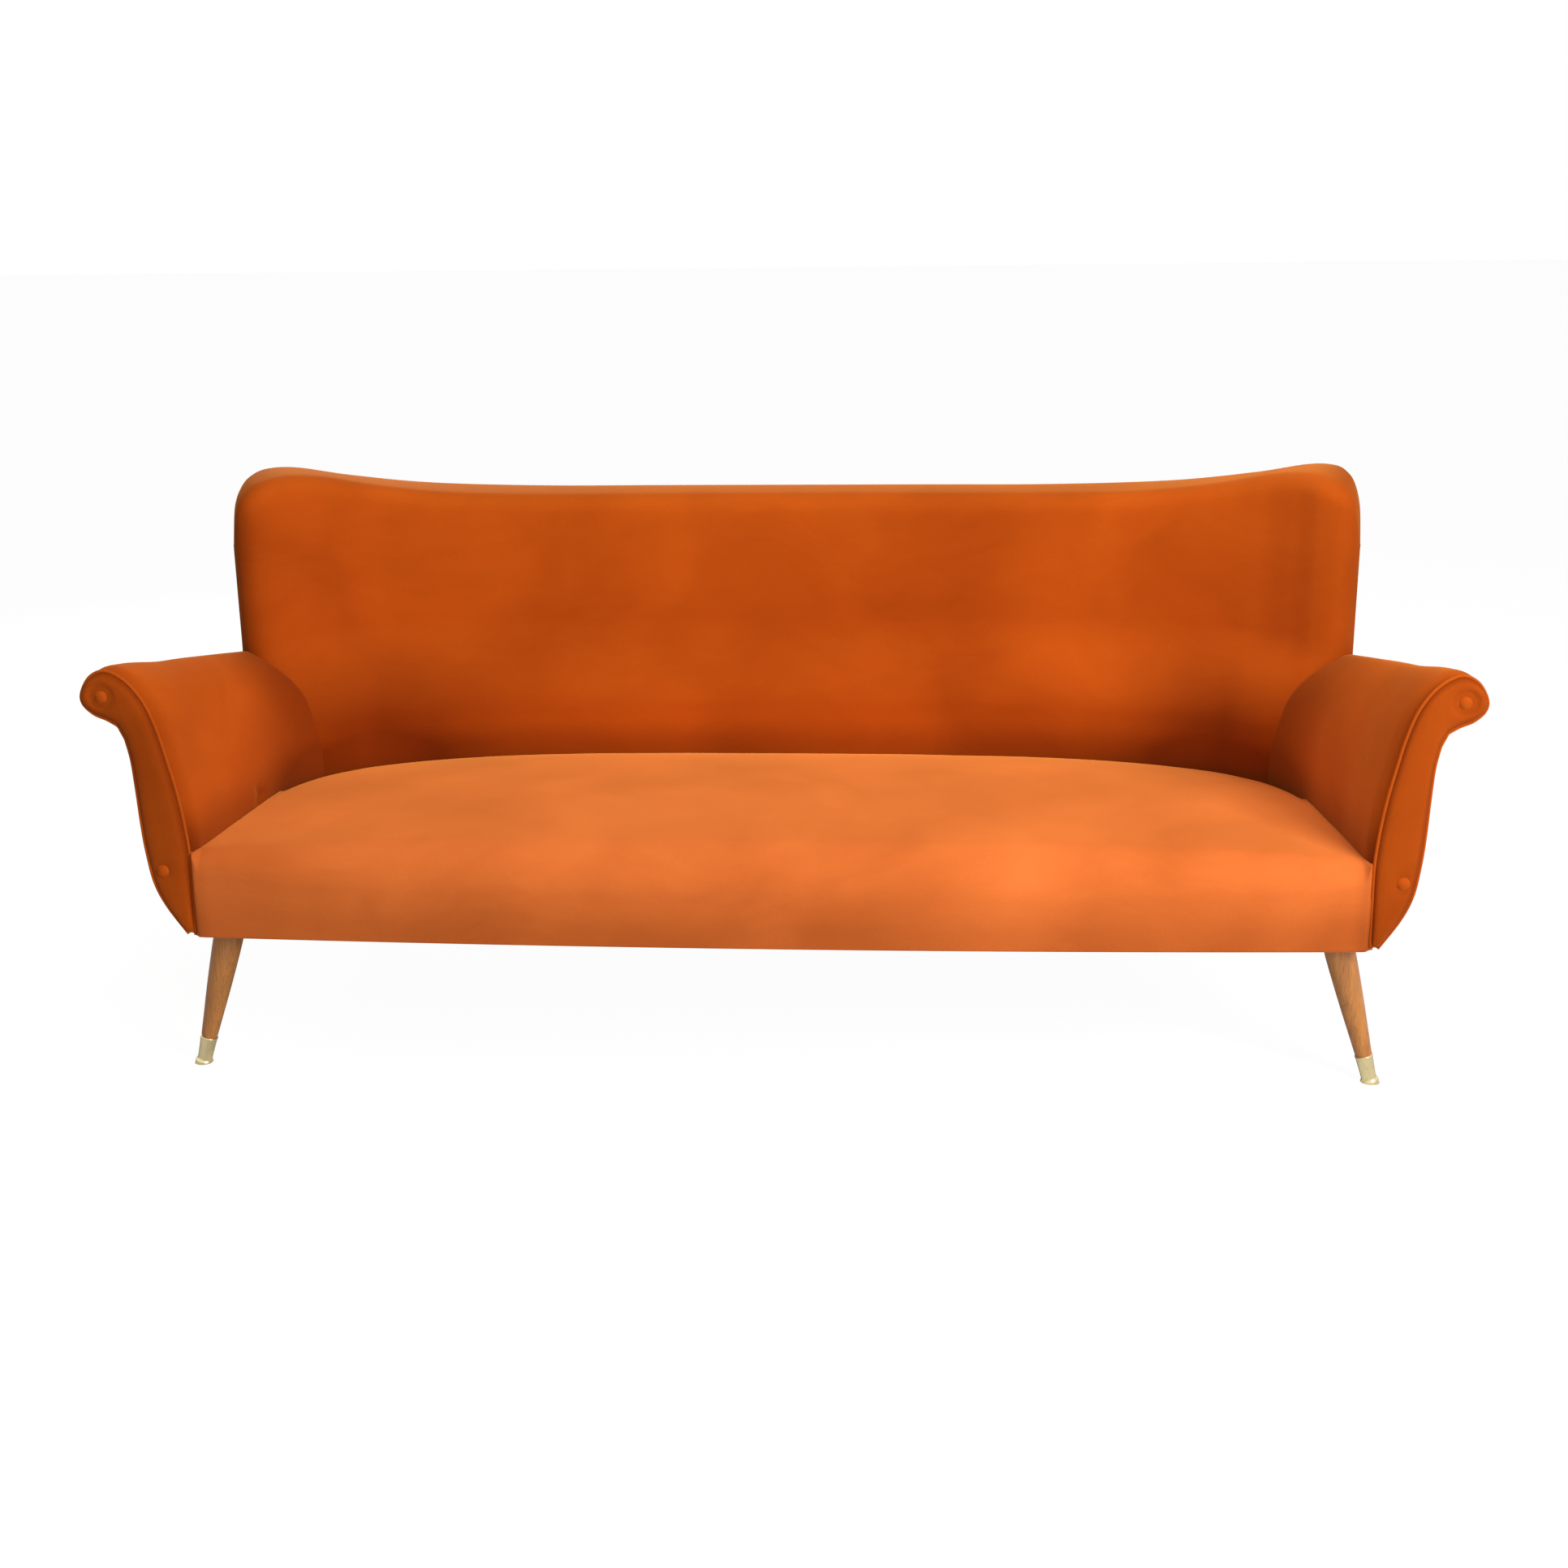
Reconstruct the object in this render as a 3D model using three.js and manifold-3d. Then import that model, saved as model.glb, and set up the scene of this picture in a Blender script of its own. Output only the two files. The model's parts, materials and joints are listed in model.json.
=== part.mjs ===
// Winged three-seat sofa with scroll arms, in millimetres, +Z up, front towards -Y.
// The origin is on the floor, under the middle of the sofa's overall box.
import * as THREE from 'three';
import { mergeVertices } from 'three/addons/utils/BufferGeometryUtils.js';
import Module from 'manifold-3d';

// Overall sizes, which the form follows by shares
const overallWidth = 2050;
const overallDepth = 776;
const backHeight = 820;
const halfWidth = overallWidth / 2;
const earHeightShare = 1.061;
const bottomHeightShare = 0.283;
const earHeight = backHeight * earHeightShare;
const bottomHeight = backHeight * bottomHeightShare;

// Seat
const seatWidthShare = 0.8585;
const seatRearWidthShare = 0.9432;
const seatDepthShare = 0.7474;
const seatEdgeShare = 0.4451;
const seatHalfWidth = halfWidth * seatWidthShare;
const seatRearHalfWidth = seatHalfWidth * seatRearWidthShare;
const seatDepth = overallDepth * seatDepthShare;
const seatEdgeHeight = backHeight * seatEdgeShare;
const seatCrown = 35;
const seatFrontBow = 20;
const seatFrontRound = 42;
const seatSideRise = 15;
const seatClearance = 0.4;

// Arms
const armHeightShare = 0.7927;
const armRearHeightShare = 0.9015;
const armRearReachShare = 0.9093;
const armDepthShare = 0.5387;
const armHeight = backHeight * armHeightShare;
const armRearHeight = armHeight * armRearHeightShare;
const armRearReach = halfWidth * armRearReachShare;
const armDepth = overallDepth * armDepthShare;
const facingThickness = 12;
const facingInset = 4;

// Back
const backTopDepthShare = 0.7925;
const wingWidthShare = 0.9024;
const barrelHeightShare = 0.4878;
const backTopDepth = overallDepth * backTopDepthShare;
const backTopRound = 34;
const rearRound = 16;
const backLean = 40;
const backRearLine = overallDepth - seatFrontBow;
const barrelDepth = 40;
const barrelHeight = backHeight * barrelHeightShare;
const wingHalfWidth = halfWidth * wingWidthShare;
const wingClearance = 6;
const wingFront = armDepth + wingClearance;

// Layers: cloth over wadding, foam, boards and the gap that neighbours keep
const coverThickness = 3;
const gap = 0.3;
const armStations = 6;
const panelThickness = 6;
const armFoam = 20;
const armRearFoam = 5;
const boardThickness = 18;
const railThickness = 26;
const railHeight = 58;
const frontRailDepth = 8;
const frameSideClearance = 8;
const topRailDrop = 45;
const boardClearance = 1;
const armRailShare = 0.0169;
const armRailRadius = armHeight * armRailShare;
const armRailSides = 10;
const armRailRearShare = 0.01365;
const armRailRearRadius = armRearHeight * armRailRearShare;
const armRailRearShares = [0.72, 0.945];
const postWidth = 45;
const backPostDepthShare = 0.0902;
const backPostDepth = overallDepth * backPostDepthShare;
const outerPostShare = 0.6486;
const outerPostX = wingHalfWidth * outerPostShare;
const webSlack = 0.8;
const webDepth = backPostDepth + gap + webSlack;
const innerPostShare = 0.2595;
const innerPostX = wingHalfWidth * innerPostShare;
const cornerBlock = 76;
const cornerBlockHeight = 40;
const stretcherShare = 0.32;
const webThickness = 2;
const webWidth = 50;
const webPitch = 110;
const webInset = 40;

// Legs
const legTopRadius = 23;
const legFootRadius = 12;
const ferruleHeight = 44;
const ferruleWall = 1.2;
const ferruleLip = 2;
const footRadius = 10;
const legSplay = THREE.MathUtils.degToRad(15.5);
const legPlaceShares = [['front', 0.9636, 0.0709, 0], ['rear', 0.858, 0.8247, Math.PI / 4]];
const plateSize = 58;
const plateThickness = 4;

// Trim
const pipingRadius = 1.7;
const pipingSides = 8;
const buttonRadius = 11;
const buttonHeight = 6;
const buttonSides = 16;
const legSides = 16;
const footClearance = 6;
const buttonShares = { scroll: [0.74, 0.935], lower: [0.34, 0.508] };

const frontY = seatFrontBow - overallDepth / 2;
const railTop = bottomHeight + railHeight;
const seatBaseHeight = railTop + webThickness + 2 * gap;
const tuckHeight = seatBaseHeight + coverThickness;

const colours = {
  velvet: [0xc8561a, 0.85, 0], foam: [0xe6d9a8, 0.95, 0], beech: [0xc9a26b, 0.7, 0],
  webbing: [0x7a5a3a, 0.9, 0], walnut: [0xae6c37, 0.45, 0], brass: [0xc9b26a, 0.3, 1],
  steel: [0x8d8f92, 0.4, 1], lining: [0x2c2a28, 0.95, 0],
};
const materials = {};
for (const [name, [color, roughness, metalness]] of Object.entries(colours)) {
  materials[name] = new THREE.MeshStandardMaterial({ color, roughness, metalness });
}

const wasm = await Module();
wasm.setup();
const group = new THREE.Group();

function place(name, geometry, material) {
  const mesh = new THREE.Mesh(geometry, materials[material]);
  mesh.name = name;
  group.add(mesh);
  return mesh;
}

// Depth is measured back from the front face of the arms
function at(x, depth, z) {
  return new THREE.Vector3(x, frontY + depth, z);
}

// Closed body through rings of points. Each ring is a band: one line out and as many points back,
// so its two ends are capped by rungs between the facing points. Both lines split their quads
// along the same diagonal, so that a layer's inner face lies parallel to its neighbour's outer one.
function loft(rings) {
  const count = rings[0].length;
  const positions = rings.flat().flatMap((p) => [p.x, p.y, p.z]);
  const index = [];
  for (let i = 0; i + 1 < rings.length; i += 1) {
    for (let j = 0; j < count; j += 1) {
      const a = i * count + j;
      const b = i * count + (j + 1) % count;
      const isBack = j >= count / 2;
      if (isBack) index.push(a, b, b + count, a, b + count, a + count);
      else index.push(a, b, a + count, b, b + count, a + count);
    }
  }
  index.push(...flip(capFaces(count, 0)), ...capFaces(count, (rings.length - 1) * count));
  const geometry = new THREE.BufferGeometry();
  geometry.setAttribute('position', new THREE.Float32BufferAttribute(positions, 3));
  geometry.setIndex(volume(positions, index) < 0 ? flip(index) : index);
  geometry.computeVertexNormals();
  return geometry;
}

function capFaces(count, base) {
  const faces = [];
  for (let j = 0; j + 1 < count / 2; j += 1) {
    const [a, b, c, d] = [j, j + 1, count - 2 - j, count - 1 - j].map((corner) => base + corner);
    faces.push(a, b, c, a, c, d);
  }
  return faces;
}

function flip(index) {
  const turned = [];
  for (let i = 0; i < index.length; i += 3) turned.push(index[i], index[i + 2], index[i + 1]);
  return turned;
}

function volume(positions, index) {
  let sum = 0;
  const corner = (i) => new THREE.Vector3().fromArray(positions, index[i] * 3);
  for (let i = 0; i < index.length; i += 3) {
    sum += corner(i).dot(corner(i + 1).cross(corner(i + 2)));
  }
  return sum;
}

function mirrored(geometry) {
  const copy = geometry.clone();
  copy.scale(-1, 1, 1);
  copy.setIndex(flip([...copy.index.array]));
  copy.computeVertexNormals();
  return copy;
}

// One piece on the right side and its mirror image on the left
function placePair(name, geometry, material) {
  place(`right_${name}`, geometry, material);
  place(`left_${name}`, mirrored(geometry), material);
}

function box(width, depth, height, x, middleDepth, z) {
  const geometry = new THREE.BoxGeometry(width, depth, height);
  return geometry.translate(x, frontY + middleDepth, z);
}

const smooth = (value, low, high) => THREE.MathUtils.smoothstep(value, low, high);
const mix = THREE.MathUtils.lerp;
const steps = (count) => [...Array(count + 1).keys()].map((i) => i / count);

// Points moved square to their line, to the right of its direction when positive
function offsetLine(points, distance) {
  return points.map((p, i) => {
    const before = points[Math.max(i - 1, 0)];
    const after = points[Math.min(i + 1, points.length - 1)];
    const along = after.clone().sub(before).normalize();
    return new THREE.Vector2(p.x + along.y * distance, p.y - along.x * distance);
  });
}

// Arm section: inside face and scroll, then the outside face, in x and z.
// Shares of the arm's width outwards from the seat and of the arm's height.
const armInnerShares = [
  [0.04, 0.4], [0.02, 0.46], [0, 0.555], [0.02, 0.63], [0.07, 0.71], [0.14, 0.785], [0.22, 0.86],
  [0.33, 0.925], [0.5, 0.975], [0.71, 1], [0.89, 0.985], [1, 0.945], [0.99, 0.915], [0.88, 0.89],
  [0.75, 0.877], [0.64, 0.862],
];
const armOuterShares = [
  [0.59, 0.835], [0.55, 0.785], [0.53, 0.71], [0.515, 0.63], [0.49, 0.56], [0.435, 0.49],
  [0.33, 0.435], [0.17, 0.38],
];
const armRearInnerShares = [
  [0.05, 0.445], [0.02, 0.51], [0, 0.615], [0, 0.7], [0.04, 0.785], [0.13, 0.853], [0.25, 0.905],
  [0.43, 0.95], [0.64, 0.983], [0.8, 1], [0.94, 0.995], [1, 0.978], [1, 0.96], [0.99, 0.942],
  [0.98, 0.925], [0.96, 0.908],
];
const armRearOuterShares = [
  [0.94, 0.887], [0.93, 0.836], [0.92, 0.768], [0.91, 0.7], [0.89, 0.615], [0.83, 0.546],
  [0.72, 0.478], [0.54, 0.418],
];

// Depths at which the arm's layers have their rings, the same for all of them
const armStart = facingThickness + gap;
const armFoamStart = armStart + boardThickness + gap;
const armDepths = [armStart, ...steps(armStations).map((t) => mix(armFoamStart, armDepth, t))];

// Layer of the arm that follows its section between two offsets, from one depth to another.
// Front and rear sections are offset first and blended after, so that layers never cross.
function armBand(isInner, near, far, farRear, from, skip = 0) {
  const front = isInner ? armInnerShares : armOuterShares;
  const rear = isInner ? armRearInnerShares : armRearOuterShares;
  const frontLine = front.map(([u, v]) =>
    new THREE.Vector2(mix(seatHalfWidth, halfWidth, u), v * armHeight));
  const rearLine = rear.map(([u, v]) =>
    new THREE.Vector2(mix(seatRearHalfWidth, armRearReach, u), v * armRearHeight));
  const bandOf = (line, reach) => {
    const keep = (side) => side.slice(0, side.length - skip);
    return [...keep(offsetLine(line, near)), ...keep(offsetLine(line, reach)).reverse()];
  };
  const [frontBand, rearBand] = [bandOf(frontLine, far), bandOf(rearLine, farRear)];
  return loft(armDepths.filter((depth) => depth >= from).map((depth) => frontBand.map((p, i) => {
    const q = p.clone().lerp(rearBand[i], depth / armDepth);
    return at(q.x, depth, q.y);
  })));
}

function arms() {
  const foamStart = coverThickness + gap;
  placePair('arm_cover',
    armBand(true, 0, coverThickness, coverThickness, armStart), 'velvet');
  placePair('arm_pad', armBand(true, foamStart, foamStart + armFoam, foamStart + armRearFoam,
    armFoamStart, 1), 'foam');
  placePair('outside_arm_panel',
    armBand(false, 0, panelThickness, panelThickness, armStart), 'velvet');
}

// Back: plan lines of the inside face low down and at wing height, and of the outside face.
// Each goes from the wing's front edge to the middle, in shares of the wing's half width and of
// the way from the wing's front edge to the named depth of that line.
const lowPlanShares = [
  [0.997, 0.02], [0.96, 0.02], [0.93, 0.02], [0.9, 0.025], [0.862, 0.09], [0.812, 0.27],
  [0.766, 0.46], [0.65, 0.73], [0.49, 0.9], [0.22, 1],
];
const wingPlanShares = [
  [0.997, 0.03], [0.984, 0], [0.966, 0.04], [0.945, 0.2], [0.913, 0.42], [0.854, 0.63],
  [0.757, 0.79], [0.627, 0.9], [0.454, 0.975], [0.22, 1],
];
const rearPlanShares = [
  [1, 0.06], [1, 0.12], [1, 0.23], [0.998, 0.37], [0.989, 0.56], [0.957, 0.78],
  [0.87, 0.935], [0.714, 0.99], [0.486, 1], [0.24, 1],
];
// Height of the top line at each of those points, as a share of the rise from middle to ear
const topRiseShares = [-1.2, 0.1, 0.66, 0.92, 1, 0.84, 0.44, 0.12, 0, 0];

function planPoint(shares, reach, i) {
  const [u, v] = shares[i];
  return new THREE.Vector2(u * wingHalfWidth, mix(wingFront, reach, v));
}

// Columns of the back, from the left wing round to the right one
const columnShares = topRiseShares.map((rise, i) => [i, 1]);
const columns = [...columnShares, [null, 0], ...columnShares.map(([i]) => [i, -1]).reverse()];

const innerColumns = columns.slice(2, -2);
const webColumns = columns.slice(7, -7);
const backStrapRows = 3;
const webStartShare = 0.25;
const wingColumns = { right: columns.slice(2, 7), left: columns.slice(-7, -2) };
const railColumns = columns.slice(6, -6);

// Heights between which the front goes over from the seat's plan to the wings', of the arm's
const wingBlendShares = [0.78, 1.04];

function frontPoint(i, z) {
  const blend = smooth(z, ...wingBlendShares.map((share) => share * armRearHeight));
  const low = planPoint(lowPlanShares, seatDepth, i);
  return low.lerp(planPoint(wingPlanShares, backTopDepth, i), blend);
}

const cornerShares = [0.4, 0.7];

function rearPoint(i, z) {
  const point = planPoint(rearPlanShares, backRearLine, i);
  const share = i / (topRiseShares.length - 1);
  const turn = smooth(share, ...cornerShares);
  point.y -= backLean * turn * (1 - z / backHeight);
  const low = Math.max(barrelHeight - z, 0) / (barrelHeight - bottomHeight);
  point.x -= barrelDepth * (1 - turn) * low ** 2;
  return point;
}

// A column's plan points, mirrored for the left side; the middle has the last point's depth
function columnPoint(pick, [i, side], z) {
  if (i === null) return new THREE.Vector2(0, pick(topRiseShares.length - 1, z).y);
  const point = pick(i, z);
  return new THREE.Vector2(point.x * side, point.y);
}

function columnTop([i]) {
  return backHeight + (i === null ? 0 : topRiseShares[i] * (earHeight - backHeight));
}

// Front and rear points of a column at a height, both drawn inwards by the given insets
function columnSpan(column, z, frontInset, rearInset) {
  const k = columns.indexOf(column);
  const before = columns[Math.max(k - 1, 0)];
  const after = columns[Math.min(k + 1, columns.length - 1)];
  return [[frontPoint, frontInset, 1], [rearPoint, rearInset, -1]].map(([pick, inset, sense]) => {
    const point = columnPoint(pick, column, z);
    const along = columnPoint(pick, after, z).sub(columnPoint(pick, before, z)).normalize();
    return new THREE.Vector2(point.x + along.y * inset * sense, point.y - along.x * inset * sense);
  });
}

// Rounded profile over the top, from the front face to the rear face, as share across and drop
const topTurnShares = [
  [0, 1, 0], [0.15, 0.5, 0], [0.5, 0.13, 0], [1, 0, 0], [1, 0, 1], [0.5, 0, 0.13], [0.15, 0, 0.5],
  [0, 0, 1],
];
const frontRoundShare = 0.36;
const backRoundShare = 0.3;
const padDeepShare = 0.6;
const padThinShare = 0.38;
const wingTopShare = 0.93;
const outsideRowShares = [0, 0.06, 0.13, 0.27, 0.5, 0.75, 1];
const faceShares = [0, 0.22, 0.42, 0.6, 0.75, 0.88];

function columnThickness(column) {
  const [a, b] = columnSpan(column, columnTop(column), 0, 0);
  return a.distanceTo(b);
}

// Skin of the back in one column, from its lower front edge over the top and down behind
function backSkin(column, inset, bottom) {
  const top = columnTop(column) - inset;
  const across = columnThickness(column);
  const frontRound = Math.min(backTopRound, across * frontRoundShare) - inset;
  const backRound = Math.min(rearRound, across * backRoundShare) - inset;
  const points = faceShares.map((share) => {
    const z = mix(bottom, top - frontRound, share);
    const [a] = columnSpan(column, z, inset, inset);
    return at(a.x, a.y, z);
  });
  topTurnShares.forEach(([shareAcross, frontDrop, rearDrop], k) => {
    const isFront = k < topTurnShares.length / 2;
    const drop = isFront ? frontDrop * frontRound : rearDrop * backRound;
    const z = top - drop;
    const [a, b] = columnSpan(column, z, inset, inset);
    const way = (isFront ? frontRound : -backRound) * shareAcross / a.distanceTo(b);
    const p = isFront ? a.clone().lerp(b, way) : b.clone().lerp(a, -way);
    points.push(at(p.x, p.y, z));
    if (isFront && shareAcross === 1) {
      const deep = a.clone().lerp(b, padShare(a, b));
      points.push(at(deep.x, deep.y, z));
    }
  });
  return points;
}

function back() {
  place('inside_back_cover', loft(columns.map((column) => [
    ...backSkin(column, 0, tuckHeight),
    ...backSkin(column, coverThickness, tuckHeight).reverse(),
  ])), 'velvet');
  place('outside_back_cover', loft(columns.map((column) => outsideRing(column))), 'velvet');
  place('back_pad', loft(innerColumns.map((column) => padRing(column))), 'foam');
  place('back_top_rail',
    loft(railColumns.map((column) => backMember(column, topRailDrop + railHeight, topRailDrop))),
    'beech');
  for (const [side, sideColumns] of Object.entries(wingColumns)) {
    place(`${side}_wing_board`, loft(sideColumns.map((column) => wingRing(column))), 'beech');
  }
  for (const [name, x] of [['outer', outerPostX], ['inner', innerPostX]]) {
    placePair(`${name}_back_post`, backPost(x), 'beech');
  }
}

// Bent rail behind the foam, between two drops below the top line
function backMember(column, lowDrop, highDrop) {
  const inset = coverThickness + gap;
  const corner = (z, extra) => {
    const [a, b] = columnSpan(column, z, inset, inset);
    const isEnd = column === railColumns[0] || column === railColumns[railColumns.length - 1];
    if (!isEnd) return at(b.x, b.y - extra, z);
    const p = b.lerp(a, extra / Math.abs(b.y - a.y));
    return at(p.x - Math.sign(p.x) * 2 * gap, p.y, z);
  };
  const [low, high] = [columnTop(column) - lowDrop, columnTop(column) - highDrop];
  return [corner(low, backPostDepth), corner(high, backPostDepth), corner(high, 0), corner(low, 0)];
}

// Wing board: fills the wing between its foam and the outside cover
function wingRing(column) {
  const inset = coverThickness + boardClearance;
  const shares = [...outsideRowShares.slice(0, -1), wingTopShare];
  const heights = shares.map((share) => mix(bottomHeight, outsideTop(column), share));
  const line = (isRear) => heights.map((z) => {
    const [a, b] = columnSpan(column, z, inset, inset);
    const share = padShare(a, b) + gap / a.distanceTo(b);
    const p = isRear ? b : a.clone().lerp(b, Math.max(share, 1 - boardThickness / a.distanceTo(b)));
    return at(p.x, p.y, z);
  });
  return [...line(false), ...line(true).reverse()];
}

function postRear(x, z) {
  return rearDepth(x + postWidth / 2, z) - coverThickness - gap;
}

// Post leaning with the outside of the back, from the bottom edge to under the top rail
function backPost(x) {
  const levels = [bottomHeight, backHeight - topRailDrop - railHeight - gap];
  const rings = levels.map((z) => {
    const rear = postRear(x, z);
    const [low, high] = [x - postWidth / 2, x + postWidth / 2];
    return [at(low, rear - backPostDepth, z), at(high, rear - backPostDepth, z),
      at(high, rear, z), at(low, rear, z)];
  });
  return loft(rings);
}

// Depth of the outside face at a place across and a height
function rearDepth(x, z) {
  const points = rearPlanShares.map((share, i) => rearPoint(i, z));
  for (let i = 1; i < points.length; i += 1) {
    const [p, q] = [points[i - 1], points[i]];
    if (x >= q.x) return mix(p.y, q.y, (x - p.x) / (q.x - p.x));
  }
  return points[points.length - 1].y;
}

// Outside cover: from the floor edge up to just under where the inside cover ends
function outsideRing(column) {
  const heights = outsideRowShares.map((share) => mix(bottomHeight, outsideTop(column), share));
  const line = (inset) => heights.map((z) => {
    const [, b] = columnSpan(column, z, inset, inset);
    return at(b.x, b.y, z);
  });
  return [...line(0), ...line(coverThickness).reverse()];
}

function outsideTop(column) {
  return columnTop(column) - Math.min(rearRound, columnThickness(column) * backRoundShare) - gap;
}

// Foam of the back: its front follows the inside cover, its rear lies against the webbing
function padRing(column) {
  const inset = coverThickness + gap;
  const top = columnTop(column) - inset;
  const round = Math.min(backTopRound, columnThickness(column) * frontRoundShare) - inset;
  const front = [];
  const rear = [];
  for (const share of [...faceShares, 1]) {
    const z = mix(tuckHeight, top - round, share);
    const [a, b] = columnSpan(column, z, inset, inset);
    const deep = a.clone().lerp(b, padShare(a, b));
    front.push(at(a.x, a.y, z));
    rear.push(at(deep.x, deep.y, z));
  }
  for (const [across, drop] of topTurnShares.slice(1, 4)) {
    const z = top - drop * round;
    const [a, b] = columnSpan(column, z, inset, inset);
    const way = round / a.distanceTo(b) * across;
    const deep = a.clone().lerp(b, padShare(a, b));
    const p = a.clone().lerp(b, way);
    front.push(at(p.x, p.y, z));
    rear.push(at(deep.x, deep.y, z));
  }
  return [...front, ...rear.reverse()];
}

// Share of the back's thickness that the foam takes: what the posts and the webbing leave
function padShare(a, b) {
  const share = 1 - (webDepth + webThickness + gap) / Math.abs(b.y - a.y);
  return THREE.MathUtils.clamp(share, padThinShare, padDeepShare);
}

// Seat: rear edge in plan, from the middle to where the arm's front begins, in shares of the
// seat's half width and depth
const seatRearShares = [
  [0, 0.994], [0.25, 0.992], [0.5, 0.968], [0.67, 0.918], [0.8, 0.838], [0.852, 0.78],
  [0.9, 0.735], [0.925, 0.71], [0.936, 0.685],
];

function seatRear(x) {
  const share = Math.abs(x) / seatHalfWidth;
  for (let i = 1; i < seatRearShares.length; i += 1) {
    const [u0, v0] = seatRearShares[i - 1];
    const [u1, v1] = seatRearShares[i];
    if (share <= u1) return seatDepth * mix(v0, v1, (share - u0) / (u1 - u0));
  }
  // Along the arm the seat follows the arm's inside face, which runs straight
  const way = (Math.abs(x) - seatRearHalfWidth) / (seatHalfWidth - seatRearHalfWidth);
  return armDepth * (1 - way) - seatClearance * armDepth / (seatHalfWidth - seatRearHalfWidth);
}

function seatFront(x) {
  return -seatFrontBow * (1 - (x / seatHalfWidth) ** 2);
}

// Crown: highest in the middle of the seat, level along its sides
function seatTop(x, depth) {
  const side = 1 - Math.abs(x / seatHalfWidth) ** 3;
  const along = Math.sin(Math.PI * Math.min(Math.max(depth / seatDepth, 0), 1)) ** 0.5;
  const rise = smooth(depth, 0, armDepth) * (1 - side) * seatSideRise;
  return seatEdgeHeight + seatCrown * side * along + rise;
}

const seatXShares = [0, 0.15, 0.3, 0.45, 0.6, 0.72, 0.82, 0.88, 0.93, 0.965];
const seatCoverEndShare = 0.998;
const seatPadEndShare = 0.985;
const seatDepthShares = [1, 0.8, 0.6, 0.4, 0.2, 0.1];
const turnAngles = [0.25, 0.5, 0.75, 1].map((share) => share * Math.PI / 2);

// Line over the seat at one place across, from the rear tuck forward and down the front
function seatLine(x, inset, rearBottom, frontBottom) {
  const front = seatFront(x) + inset;
  const rear = seatRear(x) - inset;
  const round = Math.min(seatFrontRound, (rear - front) * frontRoundShare) - inset;
  const crest = (depth) => seatTop(x, depth) - inset;
  const line = [at(x, rear, rearBottom)];
  for (const share of seatDepthShares) {
    const depth = mix(front + round, rear, share);
    line.push(at(x, depth, crest(depth)));
  }
  const edge = crest(front + round);
  line.push(at(x, front + round, edge));
  for (const angle of turnAngles) {
    line.push(at(x, front + round * (1 - Math.sin(angle)), edge - round * (1 - Math.cos(angle))));
  }
  line.push(at(x, front, frontBottom));
  return line;
}

function seatColumns(endShare) {
  const right = [...seatXShares, endShare].map((share) => share * seatHalfWidth);
  return [...right.slice(1).reverse().map((x) => -x), ...right];
}

function seat() {
  const inner = coverThickness + gap;
  const cover = seatColumns(seatCoverEndShare).map((x) => [
    ...seatLine(x, 0, seatBaseHeight, bottomHeight),
    ...seatLine(x, coverThickness, seatBaseHeight, bottomHeight).reverse(),
  ]);
  place('seat_cover', loft(cover), 'velvet');
  const pad = seatColumns(seatPadEndShare).map((x) => {
    const line = seatLine(x, inner, seatBaseHeight, seatBaseHeight);
    const base = line.map((p) => new THREE.Vector3(p.x, p.y, seatBaseHeight));
    return padBand(line, base);
  });
  place('seat_pad', loft(pad), 'foam');
}

// The pad's underside mirrors its top line point by point, without its two end points
function padBand(line, base) {
  return [...line.slice(1, -1), ...base.slice(1, -1).reverse()];
}

// Outer face of the side rails, which run back just inside the arms
function frameSide(depth) {
  return mix(seatHalfWidth, seatRearHalfWidth, depth / armDepth) - frameSideClearance;
}

// Upright board along the sofa's depth, with its two ends at their own places across
function slantedBoard(xAt, thickness, from, to, low, high) {
  return loft([from, to].map((depth) => [
    at(xAt(depth) - thickness, depth, low), at(xAt(depth) - thickness, depth, high),
    at(xAt(depth), depth, high), at(xAt(depth), depth, low),
  ]));
}

// The rear rail lies against the front of the back posts
const rearRailDepth = postRear(outerPostX, bottomHeight) - backPostDepth - gap - railThickness;

function seatFrame() {
  const railZ = bottomHeight + railHeight / 2;
  const rearEnd = rearRailDepth + railThickness;
  const frontEnd = frontRailDepth + railThickness;
  const frontWidth = 2 * frameSide(frontEnd);
  place('front_rail', box(frontWidth, railThickness, railHeight, 0,
    frontRailDepth + railThickness / 2, railZ), 'beech');
  place('rear_rail', box(2 * frameSide(rearEnd), railThickness, railHeight, 0,
    rearRailDepth + railThickness / 2, railZ), 'beech');
  const [from, to] = [frontEnd + gap, rearRailDepth - gap];
  placePair('side_rail',
    slantedBoard(frameSide, railThickness, from, to, bottomHeight, railTop), 'beech');
  const stretcher = () => seatHalfWidth * stretcherShare;
  placePair('seat_stretcher',
    slantedBoard(stretcher, railThickness, from, to, bottomHeight, railTop - webThickness),
    'beech');
  for (const [end, near, far] of [['front', from, from + cornerBlock], ['rear', to - cornerBlock, to]]) {
    const inside = (depth) => frameSide(depth) - railThickness - gap;
    placePair(`${end}_corner_block`, slantedBoard(inside, cornerBlock, near, far, bottomHeight,
      bottomHeight + cornerBlockHeight), 'beech');
  }
}

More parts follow.
